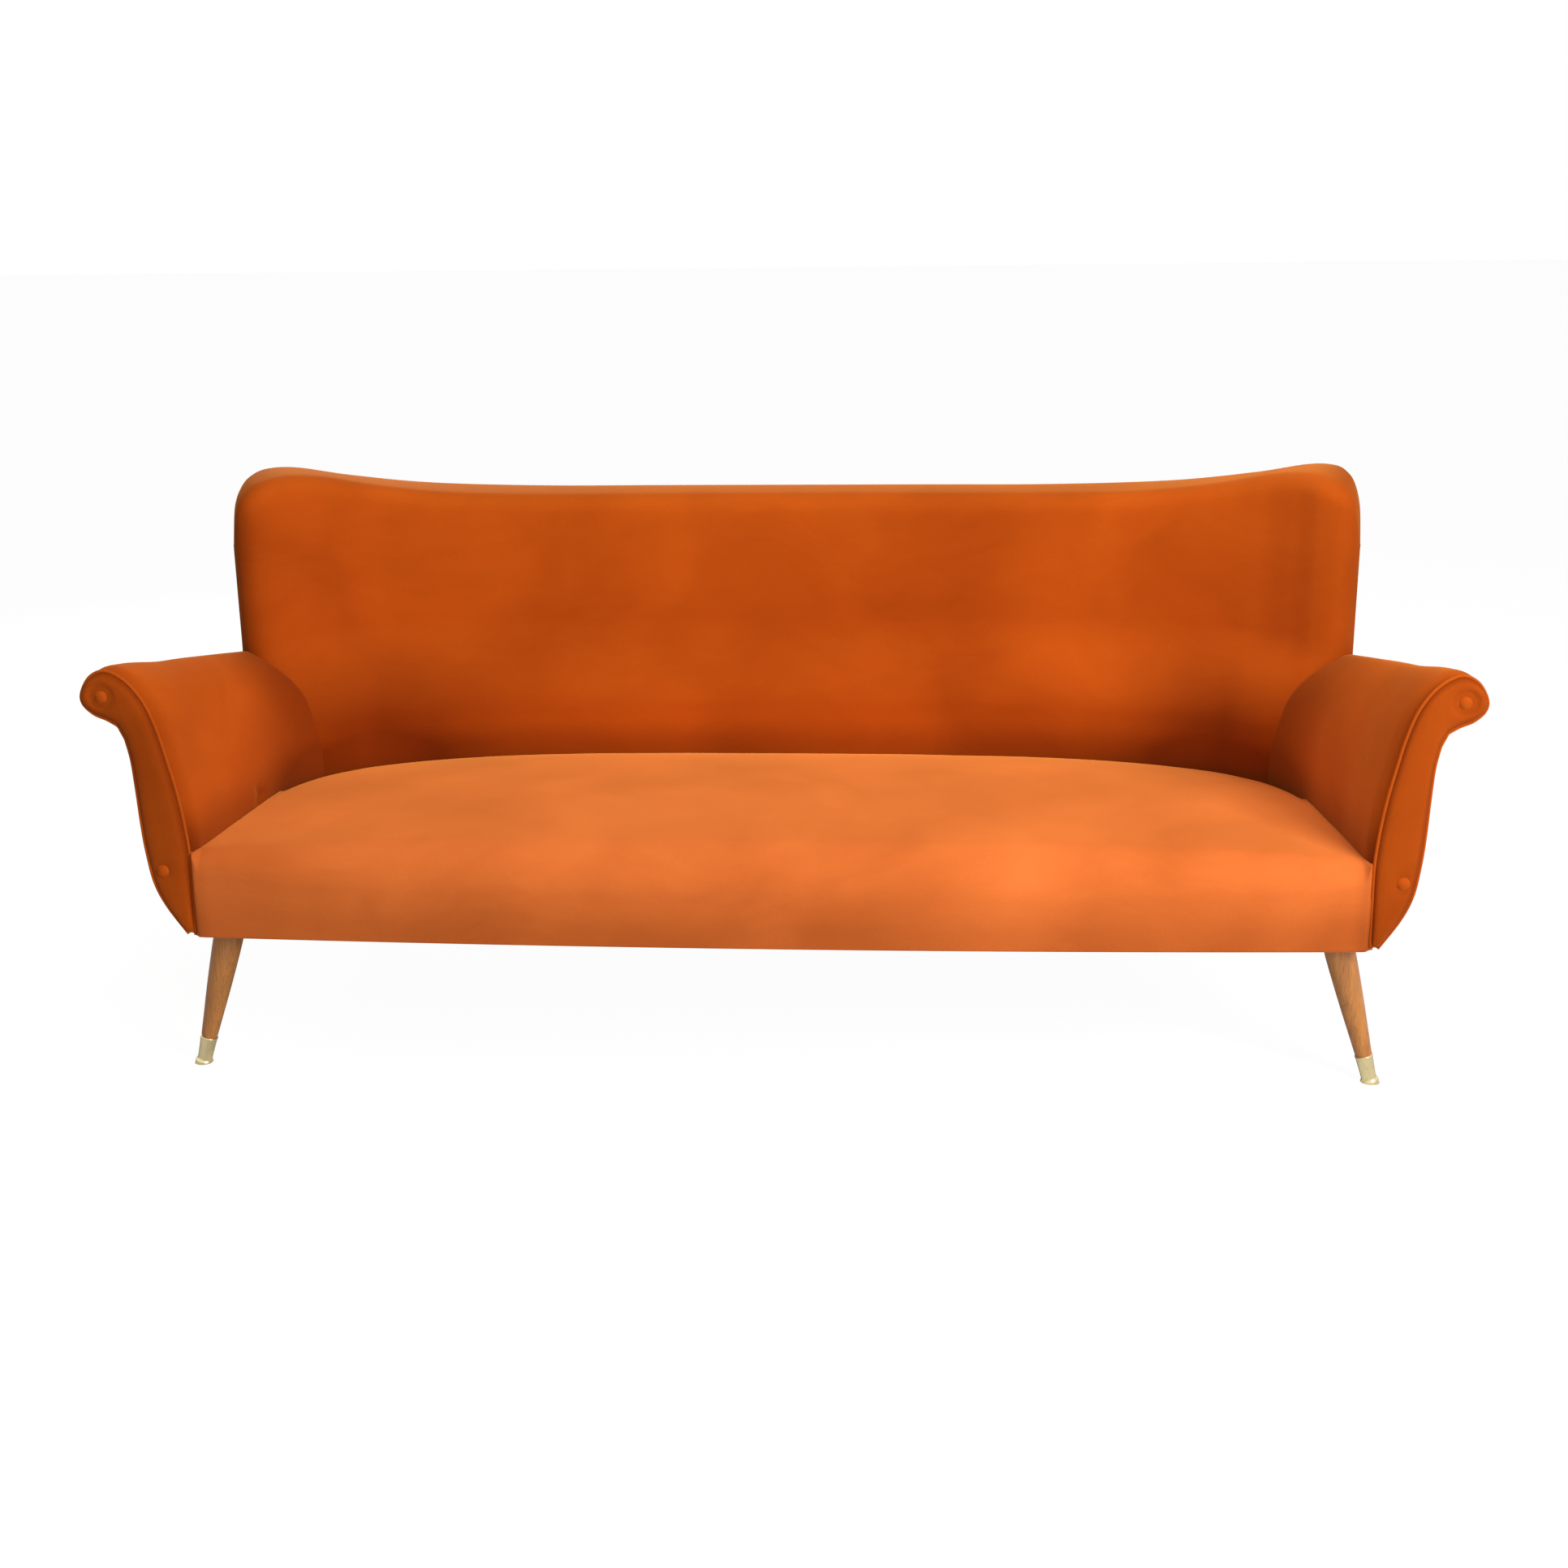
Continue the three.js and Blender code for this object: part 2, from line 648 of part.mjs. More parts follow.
// Rail that runs back inside the scroll, and the post that carries the wing board
function armFrame() {
  const [u, v] = buttonShares.scroll;
  const [ru, rv] = armRailRearShares;
  const from = armFoamStart;
  const to = armDepth;
  const centre = (depth) => [
    mix(mix(seatHalfWidth, halfWidth, u), mix(seatRearHalfWidth, armRearReach, ru), depth / armDepth),
    mix(v * armHeight, rv * armRearHeight, depth / armDepth),
  ];
  const ring = (depth) => {
    const [x, z] = centre(depth);
    const radius = mix(armRailRadius, armRailRearRadius, depth / armDepth);
    return [...Array(armRailSides).keys()].map((k) => {
      const angle = k / armRailSides * 2 * Math.PI;
      return at(x + radius * Math.cos(angle), depth, z + radius * Math.sin(angle));
    });
  };
  placePair('arm_top_rail', loft([ring(from), ring(to)]), 'beech');
}

// Jute straps across and along, woven into one sheet that lies on the rails
function seatWebbing() {
  const [from, to] = [frontRailDepth, rearRailDepth + railThickness];
  const straps = [];
  for (let depth = from + webInset; depth < to - webInset; depth += webPitch) {
    const side = frameSide(depth + webWidth);
    straps.push(flatStrap(-side, side, depth, depth + webWidth));
  }
  const reach = frameSide(to) - webInset - webWidth;
  const count = Math.round(2 * reach / webPitch);
  for (const share of steps(count)) {
    const x = mix(-reach, reach - webWidth, share);
    straps.push(flatStrap(x, x + webWidth, from, to));
  }
  const sheet = new wasm.CrossSection(straps, 'Positive').extrude(webThickness);
  place('seat_webbing', fromSolid(sheet.translate([0, 0, railTop + gap])), 'webbing');
}

function flatStrap(left, right, near, far) {
  const corners = [[left, near], [right, near], [right, far], [left, far]];
  return corners.map(([x, depth]) => at(x, depth, 0).toArray().slice(0, 2));
}

// Straps of the back follow the rear of the foam, across from column to column and up between
function backWebbing() {
  const inset = coverThickness + gap;
  const point = (column, z, beyond) => {
    const [, b] = columnSpan(column, z, inset, inset);
    return at(b.x, b.y - webDepth - webThickness + beyond, z);
  };
  const ring = (column, low, high) => [point(column, low, 0), point(column, high, 0),
    point(column, high, webThickness), point(column, low, webThickness)];
  const low = seatBaseHeight + webInset;
  const high = backHeight - topRailDrop;
  const straps = [];
  for (const share of steps(backStrapRows)) {
    const z = mix(low, high - webWidth, share);
    straps.push(loft(webColumns.map((column) => ring(column, z, z + webWidth))));
  }
  for (let k = 0; k + 1 < webColumns.length; k += 1) {
    const [near, far] = [webColumns[k], webColumns[k + 1]].map((column) => ring(column, low, high));
    const width = webWidth / near[0].distanceTo(far[0]);
    for (const start of upStrapStarts(near[0].distanceTo(far[0]))) {
      straps.push(loft([start, start + width].map((t) =>
        near.map((p, i) => p.clone().lerp(far[i], t)))));
    }
  }
  place('back_webbing', joined(straps), 'webbing');
}

// Places of the upright straps between two columns, as shares of the way between them
function upStrapStarts(distance) {
  const count = Math.max(Math.round(distance / webPitch), 1);
  return [...Array(count).keys()].map((k) => (k + webStartShare) / count);
}

function joined(geometries) {
  const [first, ...rest] = geometries.map(solid);
  return fromSolid(rest.reduce((sum, next) => sum.add(next), first));
}

// Outline of the whole arm section at a depth, drawn inwards by an inset
function armOutline(depth, inset) {
  const outline = (inner, outer, nearX, farX, height) => offsetLine([...inner, ...outer]
    .map(([u, v]) => new THREE.Vector2(mix(nearX, farX, u), v * height)), inset);
  const front = outline(armInnerShares, armOuterShares, seatHalfWidth, halfWidth, armHeight);
  const rear = outline(armRearInnerShares, armRearOuterShares, seatRearHalfWidth, armRearReach,
    armRearHeight);
  return front.map((p, i) => p.lerp(rear[i], depth / armDepth));
}

// Closed slab between two outlines of the arm section, with its faces cut into triangles
function slab(from, to, inset) {
  const rings = [from, to].map((depth) => armOutline(depth, inset));
  const count = rings[0].length;
  const index = [];
  for (let j = 0; j < count; j += 1) {
    const b = (j + 1) % count;
    index.push(j, b, j + count, b, b + count, j + count);
  }
  rings.forEach((ring, k) => {
    const turn = Math.sign(THREE.ShapeUtils.area(ring)) * (k === 0 ? -1 : 1);
    for (const [a, b, c] of THREE.ShapeUtils.triangulateShape(ring, [])) {
      const same = Math.sign(THREE.ShapeUtils.area([ring[a], ring[b], ring[c]])) === turn;
      index.push(...(same ? [a, b, c] : [a, c, b]).map((corner) => corner + k * count));
    }
  });
  const positions = rings.flatMap((ring, k) =>
    ring.flatMap((p) => at(p.x, [from, to][k], p.y).toArray()));
  const geometry = new THREE.BufferGeometry();
  geometry.setAttribute('position', new THREE.Float32BufferAttribute(positions, 3));
  geometry.setIndex(volume(positions, index) < 0 ? flip(index) : index);
  geometry.computeVertexNormals();
  return geometry;
}

function merged(geometry) {
  const copy = geometry.clone();
  copy.deleteAttribute('normal');
  copy.deleteAttribute('uv');
  const result = mergeVertices(copy);
  result.computeVertexNormals();
  return result;
}

// Cord that lies in the step between the facing's inner edge and the arm's cover
function piping() {
  const centreInset = facingInset - gap - pipingRadius;
  const depth = facingThickness - pipingRadius;
  const line = armOutline(depth, centreInset).slice(0, armInnerShares.length);
  const inner = armOutline(depth, centreInset - pipingRadius).slice(0, armInnerShares.length);
  return loft(line.map((p, i) => {
    const out = inner[i].clone().sub(p).normalize().multiplyScalar(pipingRadius);
    return [...Array(pipingSides).keys()].map((k) => {
      const angle = (k + 1 / 2) / pipingSides * 2 * Math.PI;
      return at(p.x + out.x * Math.cos(angle), depth + pipingRadius * Math.sin(angle),
        p.y + out.y * Math.cos(angle));
    });
  }));
}

function facings() {
  placePair('facing_piping', piping(), 'velvet');
  placePair('arm_facing', slab(0, facingThickness, facingInset), 'velvet');
  placePair('arm_front_board',
    slab(armStart, armStart + boardThickness, panelThickness + gap), 'beech');
  for (const [name, [u, v]] of Object.entries(buttonShares)) {
    const z = v * armHeight;
    const button = buttonSolid().translate(mix(seatHalfWidth, halfWidth, u), frontY - gap, z);
    placePair(`${name}_button`, button, 'velvet');
  }
}

function buttonSolid() {
  const profile = [new THREE.Vector2(0, 0), new THREE.Vector2(buttonRadius, 0)];
  for (const angle of turnAngles) {
    profile.push(new THREE.Vector2(buttonRadius * Math.cos(angle), buttonHeight * Math.sin(angle)));
  }
  profile[profile.length - 1].x = 0;
  return outwardSolid(merged(new THREE.LatheGeometry(profile, buttonSides))).rotateX(Math.PI);
}

// Legs lean outwards, the rear ones backwards as well. Both ends are cut level.
function legs() {
  const plateTop = bottomHeight - webThickness - 2 * gap;
  const top = plateTop - plateThickness - gap;
  const length = top / Math.cos(legSplay);
  const spare = legTopRadius * Math.sin(legSplay);
  for (const [end, shareAcross, shareBack, turn] of legPlaceShares) {
    const [x, depth] = [shareAcross * seatHalfWidth, shareBack * overallDepth];
    const plateZ = plateTop - plateThickness / 2;
    const plate = box(plateSize, plateSize, plateThickness, x, depth, plateZ);
    placePair(`${end}_leg_plate`, plate, 'steel');
    const lean = new THREE.Matrix4().makeRotationZ(turn)
      .multiply(new THREE.Matrix4().makeRotationY(-legSplay));
    const matrix = new THREE.Matrix4().makeTranslation(x, frontY + depth, top).multiply(lean);
    const shoulder = ferruleHeight - length;
    const leg = turned([[0, spare], [legTopRadius, spare], [legFootRadius, shoulder],
      [footRadius, shoulder], [footRadius, spare + footClearance - length],
      [0, spare + footClearance - length]]);
    placePair(`${end}_leg`, cutLevel(leg.applyMatrix4(matrix), top), 'walnut');
    const socket = footRadius + gap;
    const lipTop = spare + footClearance / 2 - length;
    const ferrule = turned([[socket, shoulder - gap], [legFootRadius + ferruleWall, shoulder - gap],
      [socket + ferruleWall, lipTop + ferruleLip], [socket + ferruleWall + ferruleLip, lipTop],
      [socket + ferruleWall + ferruleLip, -spare - length], [0, -spare - length],
      [0, spare + footClearance - gap - length], [socket, spare + footClearance - gap - length]]);
    placePair(`${end}_ferrule`, cutLevel(ferrule.applyMatrix4(matrix), top), 'brass');
  }
}

function solid(geometry) {
  const copy = merged(geometry);
  return new wasm.Manifold(new wasm.Mesh({
    numProp: 3,
    vertProperties: new Float32Array(copy.attributes.position.array),
    triVerts: new Uint32Array(copy.index.array),
  }));
}

// The part of a solid between the floor and a height
function cutLevel(geometry, top) {
  const slice = new THREE.BoxGeometry(overallWidth, overallDepth, top).translate(0, 0, top / 2);
  return fromSolid(solid(geometry).intersect(solid(slice)));
}

function fromSolid(body) {
  const mesh = body.getMesh();
  const result = new THREE.BufferGeometry();
  result.setAttribute('position', new THREE.BufferAttribute(mesh.vertProperties, 3));
  result.setIndex(new THREE.BufferAttribute(mesh.triVerts, 1));
  result.computeVertexNormals();
  return result;
}

// Round solid from radius and height pairs, given along its outline
function turned(profile) {
  const closed = profile[0][0] === 0 ? profile : [...profile, profile[0]];
  const points = closed.map(([r, z]) => new THREE.Vector2(r, z));
  return outwardSolid(merged(new THREE.LatheGeometry(points, legSides).rotateX(Math.PI / 2)));
}

function outwardSolid(geometry) {
  const index = [...geometry.index.array];
  if (volume([...geometry.attributes.position.array], index) < 0) geometry.setIndex(flip(index));
  return geometry;
}

// Thin cloth under the frame, out to the covers in front and behind and to the side rails
function dustCover() {
  const rear = columns.map((column) => columnSpan(column, bottomHeight, 0, coverThickness)[1]);
  const front = seatXShares.slice(1).map((share) => share * frameSide(0));
  const edge = [...front.reverse().map((x) => -x), 0, ...front.reverse()];
  const outline = [
    ...edge.map((x) => [x, frontY + seatFront(x) + coverThickness]),
    [frameSide(armDepth), frontY + armDepth],
    ...rear.sort((a, b) => b.x - a.x).map((p) => [p.x, frontY + p.y]),
    [-frameSide(armDepth), frontY + armDepth],
  ];
  const sheet = new wasm.CrossSection([outline], 'Positive').extrude(webThickness);
  place('dust_cover', fromSolid(sheet.translate([0, 0, bottomHeight - gap - webThickness])),
    'lining');
}

arms();
back();
seat();
seatFrame();
armFrame();
seatWebbing();
backWebbing();
facings();
legs();
dustCover();

export default group;
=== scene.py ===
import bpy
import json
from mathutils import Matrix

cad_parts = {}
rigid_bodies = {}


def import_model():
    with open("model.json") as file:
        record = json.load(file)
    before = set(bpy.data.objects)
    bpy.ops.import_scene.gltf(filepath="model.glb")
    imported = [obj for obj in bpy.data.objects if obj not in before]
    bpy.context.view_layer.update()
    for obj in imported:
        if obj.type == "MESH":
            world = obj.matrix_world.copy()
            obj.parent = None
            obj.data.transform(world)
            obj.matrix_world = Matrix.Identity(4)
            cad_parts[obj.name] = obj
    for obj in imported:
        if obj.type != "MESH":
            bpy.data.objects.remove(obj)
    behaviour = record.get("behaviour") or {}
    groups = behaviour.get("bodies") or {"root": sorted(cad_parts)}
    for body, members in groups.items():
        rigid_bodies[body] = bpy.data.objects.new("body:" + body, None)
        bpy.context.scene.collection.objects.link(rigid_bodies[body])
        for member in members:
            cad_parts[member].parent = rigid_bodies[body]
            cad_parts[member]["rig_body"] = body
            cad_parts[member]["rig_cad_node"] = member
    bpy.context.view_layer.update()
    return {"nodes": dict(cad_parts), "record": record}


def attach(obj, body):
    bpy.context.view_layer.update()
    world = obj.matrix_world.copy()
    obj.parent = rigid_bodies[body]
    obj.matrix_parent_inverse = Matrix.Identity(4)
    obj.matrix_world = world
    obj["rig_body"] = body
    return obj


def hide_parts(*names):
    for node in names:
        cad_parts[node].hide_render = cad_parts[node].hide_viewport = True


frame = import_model()

import json
import math

import bmesh
import bpy
import numpy as np
from mathutils import Matrix, Vector

# Lengths of the pieces are millimetres: x across, depth measured back from the fronts of the
# arms, z up. build() turns them into the frame's metres.
mm = 0.001
frontY = -368
finePerPoint = 40  # places that evenly() measures for each point of a curve
nodes = frame["nodes"]


# 0 below low, 1 above high, eased between
def smooth(value, low, high):
    t = np.clip((value - low) / (high - low), 0, 1)
    return t * t * (3 - 2 * t)


# Sines and cosines at equal steps of a quarter turn
def quarterTurn(steps):
    angles = np.linspace(0, math.pi / 2, steps)
    return list(zip(np.sin(angles), np.cos(angles)))


# Point at parameter t on a smooth curve through the rows of points, numbered 0, 1, 2 and on
def along(points, t):
    p = np.asarray(points, float)
    last = len(p) - 1
    t = np.clip(np.asarray(t, float), 0, last)
    i = np.minimum(t.astype(int), last - 1)
    f = (t - i).reshape(t.shape + (1,) * (p.ndim - 1))
    a, b = p[i], p[i + 1]
    slopeA = (b - p[np.maximum(i - 1, 0)]) / 2
    slopeB = (p[np.minimum(i + 2, last)] - a) / 2
    return ((2 * f**3 - 3 * f**2 + 1) * a + (f**3 - 2 * f**2 + f) * slopeA
            + (3 * f**2 - 2 * f**3) * b + (f**3 - f**2) * slopeB)


# count places at equal steps along the smooth curve through the points
def evenly(points, count):
    fine = along(points, np.linspace(0, len(points) - 1, finePerPoint * len(points)))
    run = np.concatenate([[0], np.cumsum(np.linalg.norm(np.diff(fine, axis=0), axis=1))])
    at = np.linspace(0, run[-1], count)
    return np.stack([np.interp(at, run, fine[:, k]) for k in range(fine.shape[1])], axis=1)


# A mesh from a grid of points (rows, columns, xyz). around joins the last column to the first, ends
# closes the first and last row, and the last argument gives the share of painted shade at each point:
# darkening painted into the colour where shade falls in corners, creases and tucks.
def build(name, points, around=False, ends=False, paintedShade=None):
    grid = np.asarray(points, float)
    rows, cols = grid.shape[:2]
    co = grid.reshape(-1, 3) * mm
    co[:, 1] += frontY * mm
    i, j = np.meshgrid(np.arange(rows - 1), np.arange(cols if around else cols - 1), indexing="ij")
    k = (j + 1) % cols
    quads = np.stack([i * cols + j, i * cols + k, (i + 1) * cols + k, (i + 1) * cols + j], axis=-1)
    faces = quads.reshape(-1, 4).tolist()
    if ends:
        faces += [list(range(cols))[::-1], [(rows - 1) * cols + c for c in range(cols)]]
    mesh = bpy.data.meshes.new(name)
    mesh.from_pydata(co.tolist(), [], faces)
    mesh.polygons.foreach_set("use_smooth", [True] * len(mesh.polygons))
    if paintedShade is not None:
        layer = mesh.attributes.new("paintedShade", "FLOAT", "POINT")
        layer.data.foreach_set("value", np.clip(paintedShade, 0, 1).ravel())
    mesh.update()
    obj = bpy.data.objects.new(name, mesh)
    bpy.context.scene.collection.objects.link(obj)
    return obj


# A sheet from the grid of its outer side, which looks towards a direction. Its thickness goes
# inwards, and clamp keeps it from crossing itself where the grid is narrow.
def sheet(name, points, towards, thickness, paintedShade=None, clamp=0):
    obj = build(name, points, paintedShade=paintedShade)
    mesh = obj.data
    normals = np.zeros(len(mesh.polygons) * 3)
    mesh.polygons.foreach_get("normal", normals)
    if normals.reshape(-1, 3).mean(axis=0) @ np.asarray(towards, float) < 0:
        mesh.flip_normals()
    solidify = obj.modifiers.new("thickness", "SOLIDIFY")
    solidify.thickness = thickness * mm
    solidify.offset = -1
    solidify.thickness_clamp = clamp
    return obj


# Points every face of a closed piece outwards
def facingOut(obj):
    bm = bmesh.new()
    bm.from_mesh(obj.data)
    bmesh.ops.recalc_face_normals(bm, faces=bm.faces)
    bm.to_mesh(obj.data)
    bm.free()
    return obj


# The same piece on the left side
def mirrored(obj, name):
    copy = obj.copy()
    copy.data = obj.data.copy()
    copy.data.name = copy.name = name
    copy.data.transform(Matrix.Scale(-1, 4, (1, 0, 0)))
    copy.data.flip_normals()
    bpy.context.scene.collection.objects.link(copy)
    return copy


# Round cord along a path of points, closed at its ends: path + radius * (cos a, sin a) across it
def tube(name, path, radius, sides):
    path = np.asarray(path, float)
    ahead = np.gradient(path, axis=0)
    ahead /= np.linalg.norm(ahead, axis=1)[:, None]
    side = np.cross(ahead, [0, 1, 0])
    side /= np.linalg.norm(side, axis=1)[:, None]
    up = np.cross(side, ahead)
    angle = np.arange(sides) * 2 * math.pi / sides
    ring = side[:, None] * np.cos(angle)[None, :, None] + up[:, None] * np.sin(angle)[None, :, None]
    return facingOut(build(name, path[:, None] + ring * radius, around=True, ends=True))


# Soft unevenness of stuffed cloth: a few slow waves across each other
def unevenness(a, b, size):
    return size * (0.5 * np.sin(a / 61 + 0.7) * np.cos(b / 83 + 0.3)
                   + 0.3 * np.sin(a / 29 + b / 47 + 1.9) + 0.2 * np.cos(a / 41 - b / 23 + 0.4))


# Back. The outlines in plan and the rise of the top line run from the wing's nose to the middle,
# as shares of the half width and of the way from the nose back to seatRear, topDepth or rearDepth.
back = {
    "halfWidth": 925, "nose": 424, "seatRear": 580, "topDepth": 615, "rearDepth": 756,
    "height": 820, "rise": 50, "tuck": 298, "bottom": 232, "centre": (0, 500),
    "frontRound": 34, "frontRoundShare": 0.36, "rearRound": 16, "rearRoundShare": 0.3,
    "lean": 40, "leanShares": (0.4, 0.7), "barrel": 40, "barrelHeight": 400,
    "barrelFade": (700, 850), "wingFade": (457, 609),
    "fullness": 5, "uneven": 1.1, "crest": 1.5, "thickness": 3,
    "columns": 300, "noseColumns": 5, "noseShares": (0.95, 0.2),
    "faceRows": 60, "frontRows": 9, "crestRows": 6, "rearRows": 6,
    "seatShares": [[0.997, 0.02], [0.96, 0.02], [0.93, 0.02], [0.9, 0.025], [0.862, 0.09],
                   [0.812, 0.27], [0.766, 0.46], [0.65, 0.73], [0.49, 0.9], [0.22, 1]],
    "wingShares": [[0.998, 0.07], [0.982, 0.005], [0.957, 0.01], [0.928, 0.11], [0.893, 0.3],
                   [0.84, 0.53], [0.753, 0.745], [0.625, 0.885], [0.454, 0.97], [0.22, 1]],
    "rearShares": [[1, 0.06], [1, 0.12], [1, 0.23], [0.998, 0.37], [0.989, 0.56],
                   [0.957, 0.78], [0.87, 0.935], [0.714, 0.99], [0.486, 1], [0.24, 1]],
    "riseShares": [-1.2, 0.1, 0.66, 0.92, 1, 0.84, 0.44, 0.12, 0, 0],
    "paintedShade": {"corner": 0.95, "cornerX": 720, "cornerWidth": 130, "cornerFade": (420, 640),
                "nose": 0.65, "noseFade": (850, 925), "tuck": 0.5, "tuckFade": (385, 440)},
}
lastColumn = 2 * len(back["seatShares"]) - 1


# Both halves of a plan outline, right nose to left nose, at columns t
def plan(name, reach, t):
    right = np.array(back[name])
    both = np.concatenate([right, right[::-1] * [-1, 1]])
    point = along(both, t)
    return np.stack([point[..., 0] * back["halfWidth"],
                     back["nose"] + point[..., 1] * (reach - back["nose"])], axis=-1)


# Height of the top line at columns t
def backTop(t):
    rise = np.array(back["riseShares"])
    return back["height"] + back["rise"] * along(np.concatenate([rise, rise[::-1]])[:, None], t)[..., 0]


# Columns from the nearer wing's nose
def fromNose(t):
    return np.minimum(t, lastColumn - t)


# Draws points in at the sides below the barrel height, by barrel * share * (way down)^2
def drawnIn(point, z, share):
    low = np.maximum(back["barrelHeight"] - z, 0) / (back["barrelHeight"] - back["bottom"])
    point[..., 0] -= np.sign(point[..., 0]) * back["barrel"] * share * low**2
    return point


# Front of the back at columns t and heights z: seat plan below, wing plan above
def backFront(t, z):
    share = smooth(z, *back["wingFade"])[..., None]
    point = (plan("seatShares", back["seatRear"], t) * (1 - share)
             + plan("wingShares", back["topDepth"], t) * share)
    return drawnIn(point, z, smooth(np.abs(point[..., 0]), *back["barrelFade"]))


# Rear of the back: leans forwards over the middle and draws in low down at its ends
def backRear(t, z):
    point = plan("rearShares", back["rearDepth"], t)
    middle = smooth(fromNose(t) / (lastColumn // 2), *back["leanShares"])
    point[..., 1] -= back["lean"] * middle * (1 - z / back["height"])
    return drawnIn(point, z, 1 - middle)


# A row over the crest, drop below the top and way back from the front face
def overCrest(ends, top, way, drop, thick):
    z = top - drop
    a, b = ends(z)
    share = np.clip(way / np.maximum(thick, 0.1), 0, 1)[:, None]
    return np.column_stack([a + (b - a) * share, z])


# Rows go up the front, round over the crest and down to the seam behind. A point is
# front + (rear - front) * way, and each rounding goes way = r (1 - cos a), drop = r (1 - sin a).
def insideBack():
    wrap = np.linspace(*back["noseShares"], back["noseColumns"])
    t = np.linspace(0, lastColumn, back["columns"])
    t = np.concatenate([np.zeros_like(wrap), t, np.full_like(wrap, lastColumn)])
    wrap = np.concatenate([wrap, np.zeros(back["columns"]), wrap[::-1]])
    top = backTop(t)
    low = back["bottom"] + (back["tuck"] - back["bottom"]) * smooth(fromNose(t), 0, 1)

    def ends(z):
        a, b = backFront(t, z), backRear(t, z)
        a = a + (b - a) * wrap[:, None]
        return a, b

    thick = np.linalg.norm(np.subtract(*ends(top)), axis=1)
    frontRound = np.minimum(back["frontRound"], back["frontRoundShare"] * thick)
    rearRound = np.minimum(back["rearRound"], back["rearRoundShare"] * thick)
    rows = []
    for share in np.linspace(0, 1, back["faceRows"]):
        z = low + (top - frontRound - low) * share
        a, b = ends(z)
        backwards = (b - a) / np.maximum(np.linalg.norm(b - a, axis=1), 1)[:, None]
        bulge = np.sin(math.pi * share)
        swell = back["fullness"] * bulge**0.7 * (1 - np.sign(wrap))
        swell = swell + unevenness(a[:, 0], z, back["uneven"]) * bulge
        rows.append(np.column_stack([a - backwards * swell[:, None], z]))
    for s, c in quarterTurn(back["frontRows"])[1:]:
        rows.append(overCrest(ends, top, frontRound * (1 - c), frontRound * (1 - s), thick))
    for share in np.linspace(0, 1, back["crestRows"])[1:-1]:
        rows.append(overCrest(ends, top + back["crest"] * math.sin(math.pi * share),
                              frontRound + (thick - frontRound - rearRound) * share, 0, thick))
    for s, c in quarterTurn(back["rearRows"])[::-1]:
        rows.append(overCrest(ends, top, thick - rearRound * (1 - c), rearRound * (1 - s), thick))
    rows = np.array(rows)
    # Painted shade: the colour is darkened where the arms meet the back, along the wings' noses and low
    # down where the back tucks in at the seat
    x, z = np.abs(rows[..., 0]), rows[..., 2]
    shadeShares = back["paintedShade"]
    corner = np.exp(-((x - shadeShares["cornerX"]) / shadeShares["cornerWidth"]) ** 2)
    paintedShade = (shadeShares["corner"] * corner * (1 - smooth(z, *shadeShares["cornerFade"]))
               + shadeShares["nose"] * smooth(x, *shadeShares["noseFade"])
               + shadeShares["tuck"] * (1 - smooth(z, *shadeShares["tuckFade"])))
    return sheet("insideBack", rows, (0, -1, 0.3), back["thickness"], paintedShade, clamp=1)


# Outside back. hem turns the bottom edge in: each row's share of the way to the centre, and drop.
outside = {
    "columns": 220, "rowShares": [*np.linspace(0, 0.985, 30), 0.993, 1], "uneven": 0.7, "thickness": 3,
    "topSunk": 1.2, "topSunkShares": (0.98, 1), "endSunk": 0.7, "endSunkColumns": (0, 0.3),
    "slackColumns": (0, 2), "hem": ((0.015, 0.8), (0.002, 0.6)),
}


# Points moved a share of the way to the middle of the seat
def towardsCentre(point, share):
    return point * (1 - share) + np.array(back["centre"]) * share


# Rows go up the rear face at backRear + outward * (slack - sunk): slack is the cloth's
# unevenness, and sunk keeps the sewn edges under the inside cover's
def outsideBack():
    t = np.linspace(0, lastColumn, outside["columns"])
    top = backTop(t)
    thick = np.linalg.norm(backFront(t, top) - backRear(t, top), axis=1)
    high = top - np.minimum(back["rearRound"], back["rearRoundShare"] * thick)
    endSunk = outside["endSunk"] * (1 - smooth(fromNose(t), *outside["endSunkColumns"]))
    rows = []
    for share in outside["rowShares"]:
        z = back["bottom"] + (high - back["bottom"]) * share
        point = backRear(t, z)
        slack = unevenness(point[:, 0], z, outside["uneven"]) * math.sin(math.pi * share)
        slack = slack * smooth(fromNose(t), *outside["slackColumns"])
        sunk = outside["topSunk"] * smooth(share, *outside["topSunkShares"]) + endSunk
        outward = point - np.array(back["centre"])
        outward /= np.linalg.norm(outward, axis=1)[:, None]
        rows.append(np.column_stack([point + outward * (slack - sunk)[:, None], z]))
    hem = []
    for share, drop in outside["hem"]:
        hem.append(np.column_stack([towardsCentre(rows[0][:, :2], share), rows[0][:, 2] - drop]))
    return sheet("outsideBack", hem + rows, (0, 1, 0), outside["thickness"])


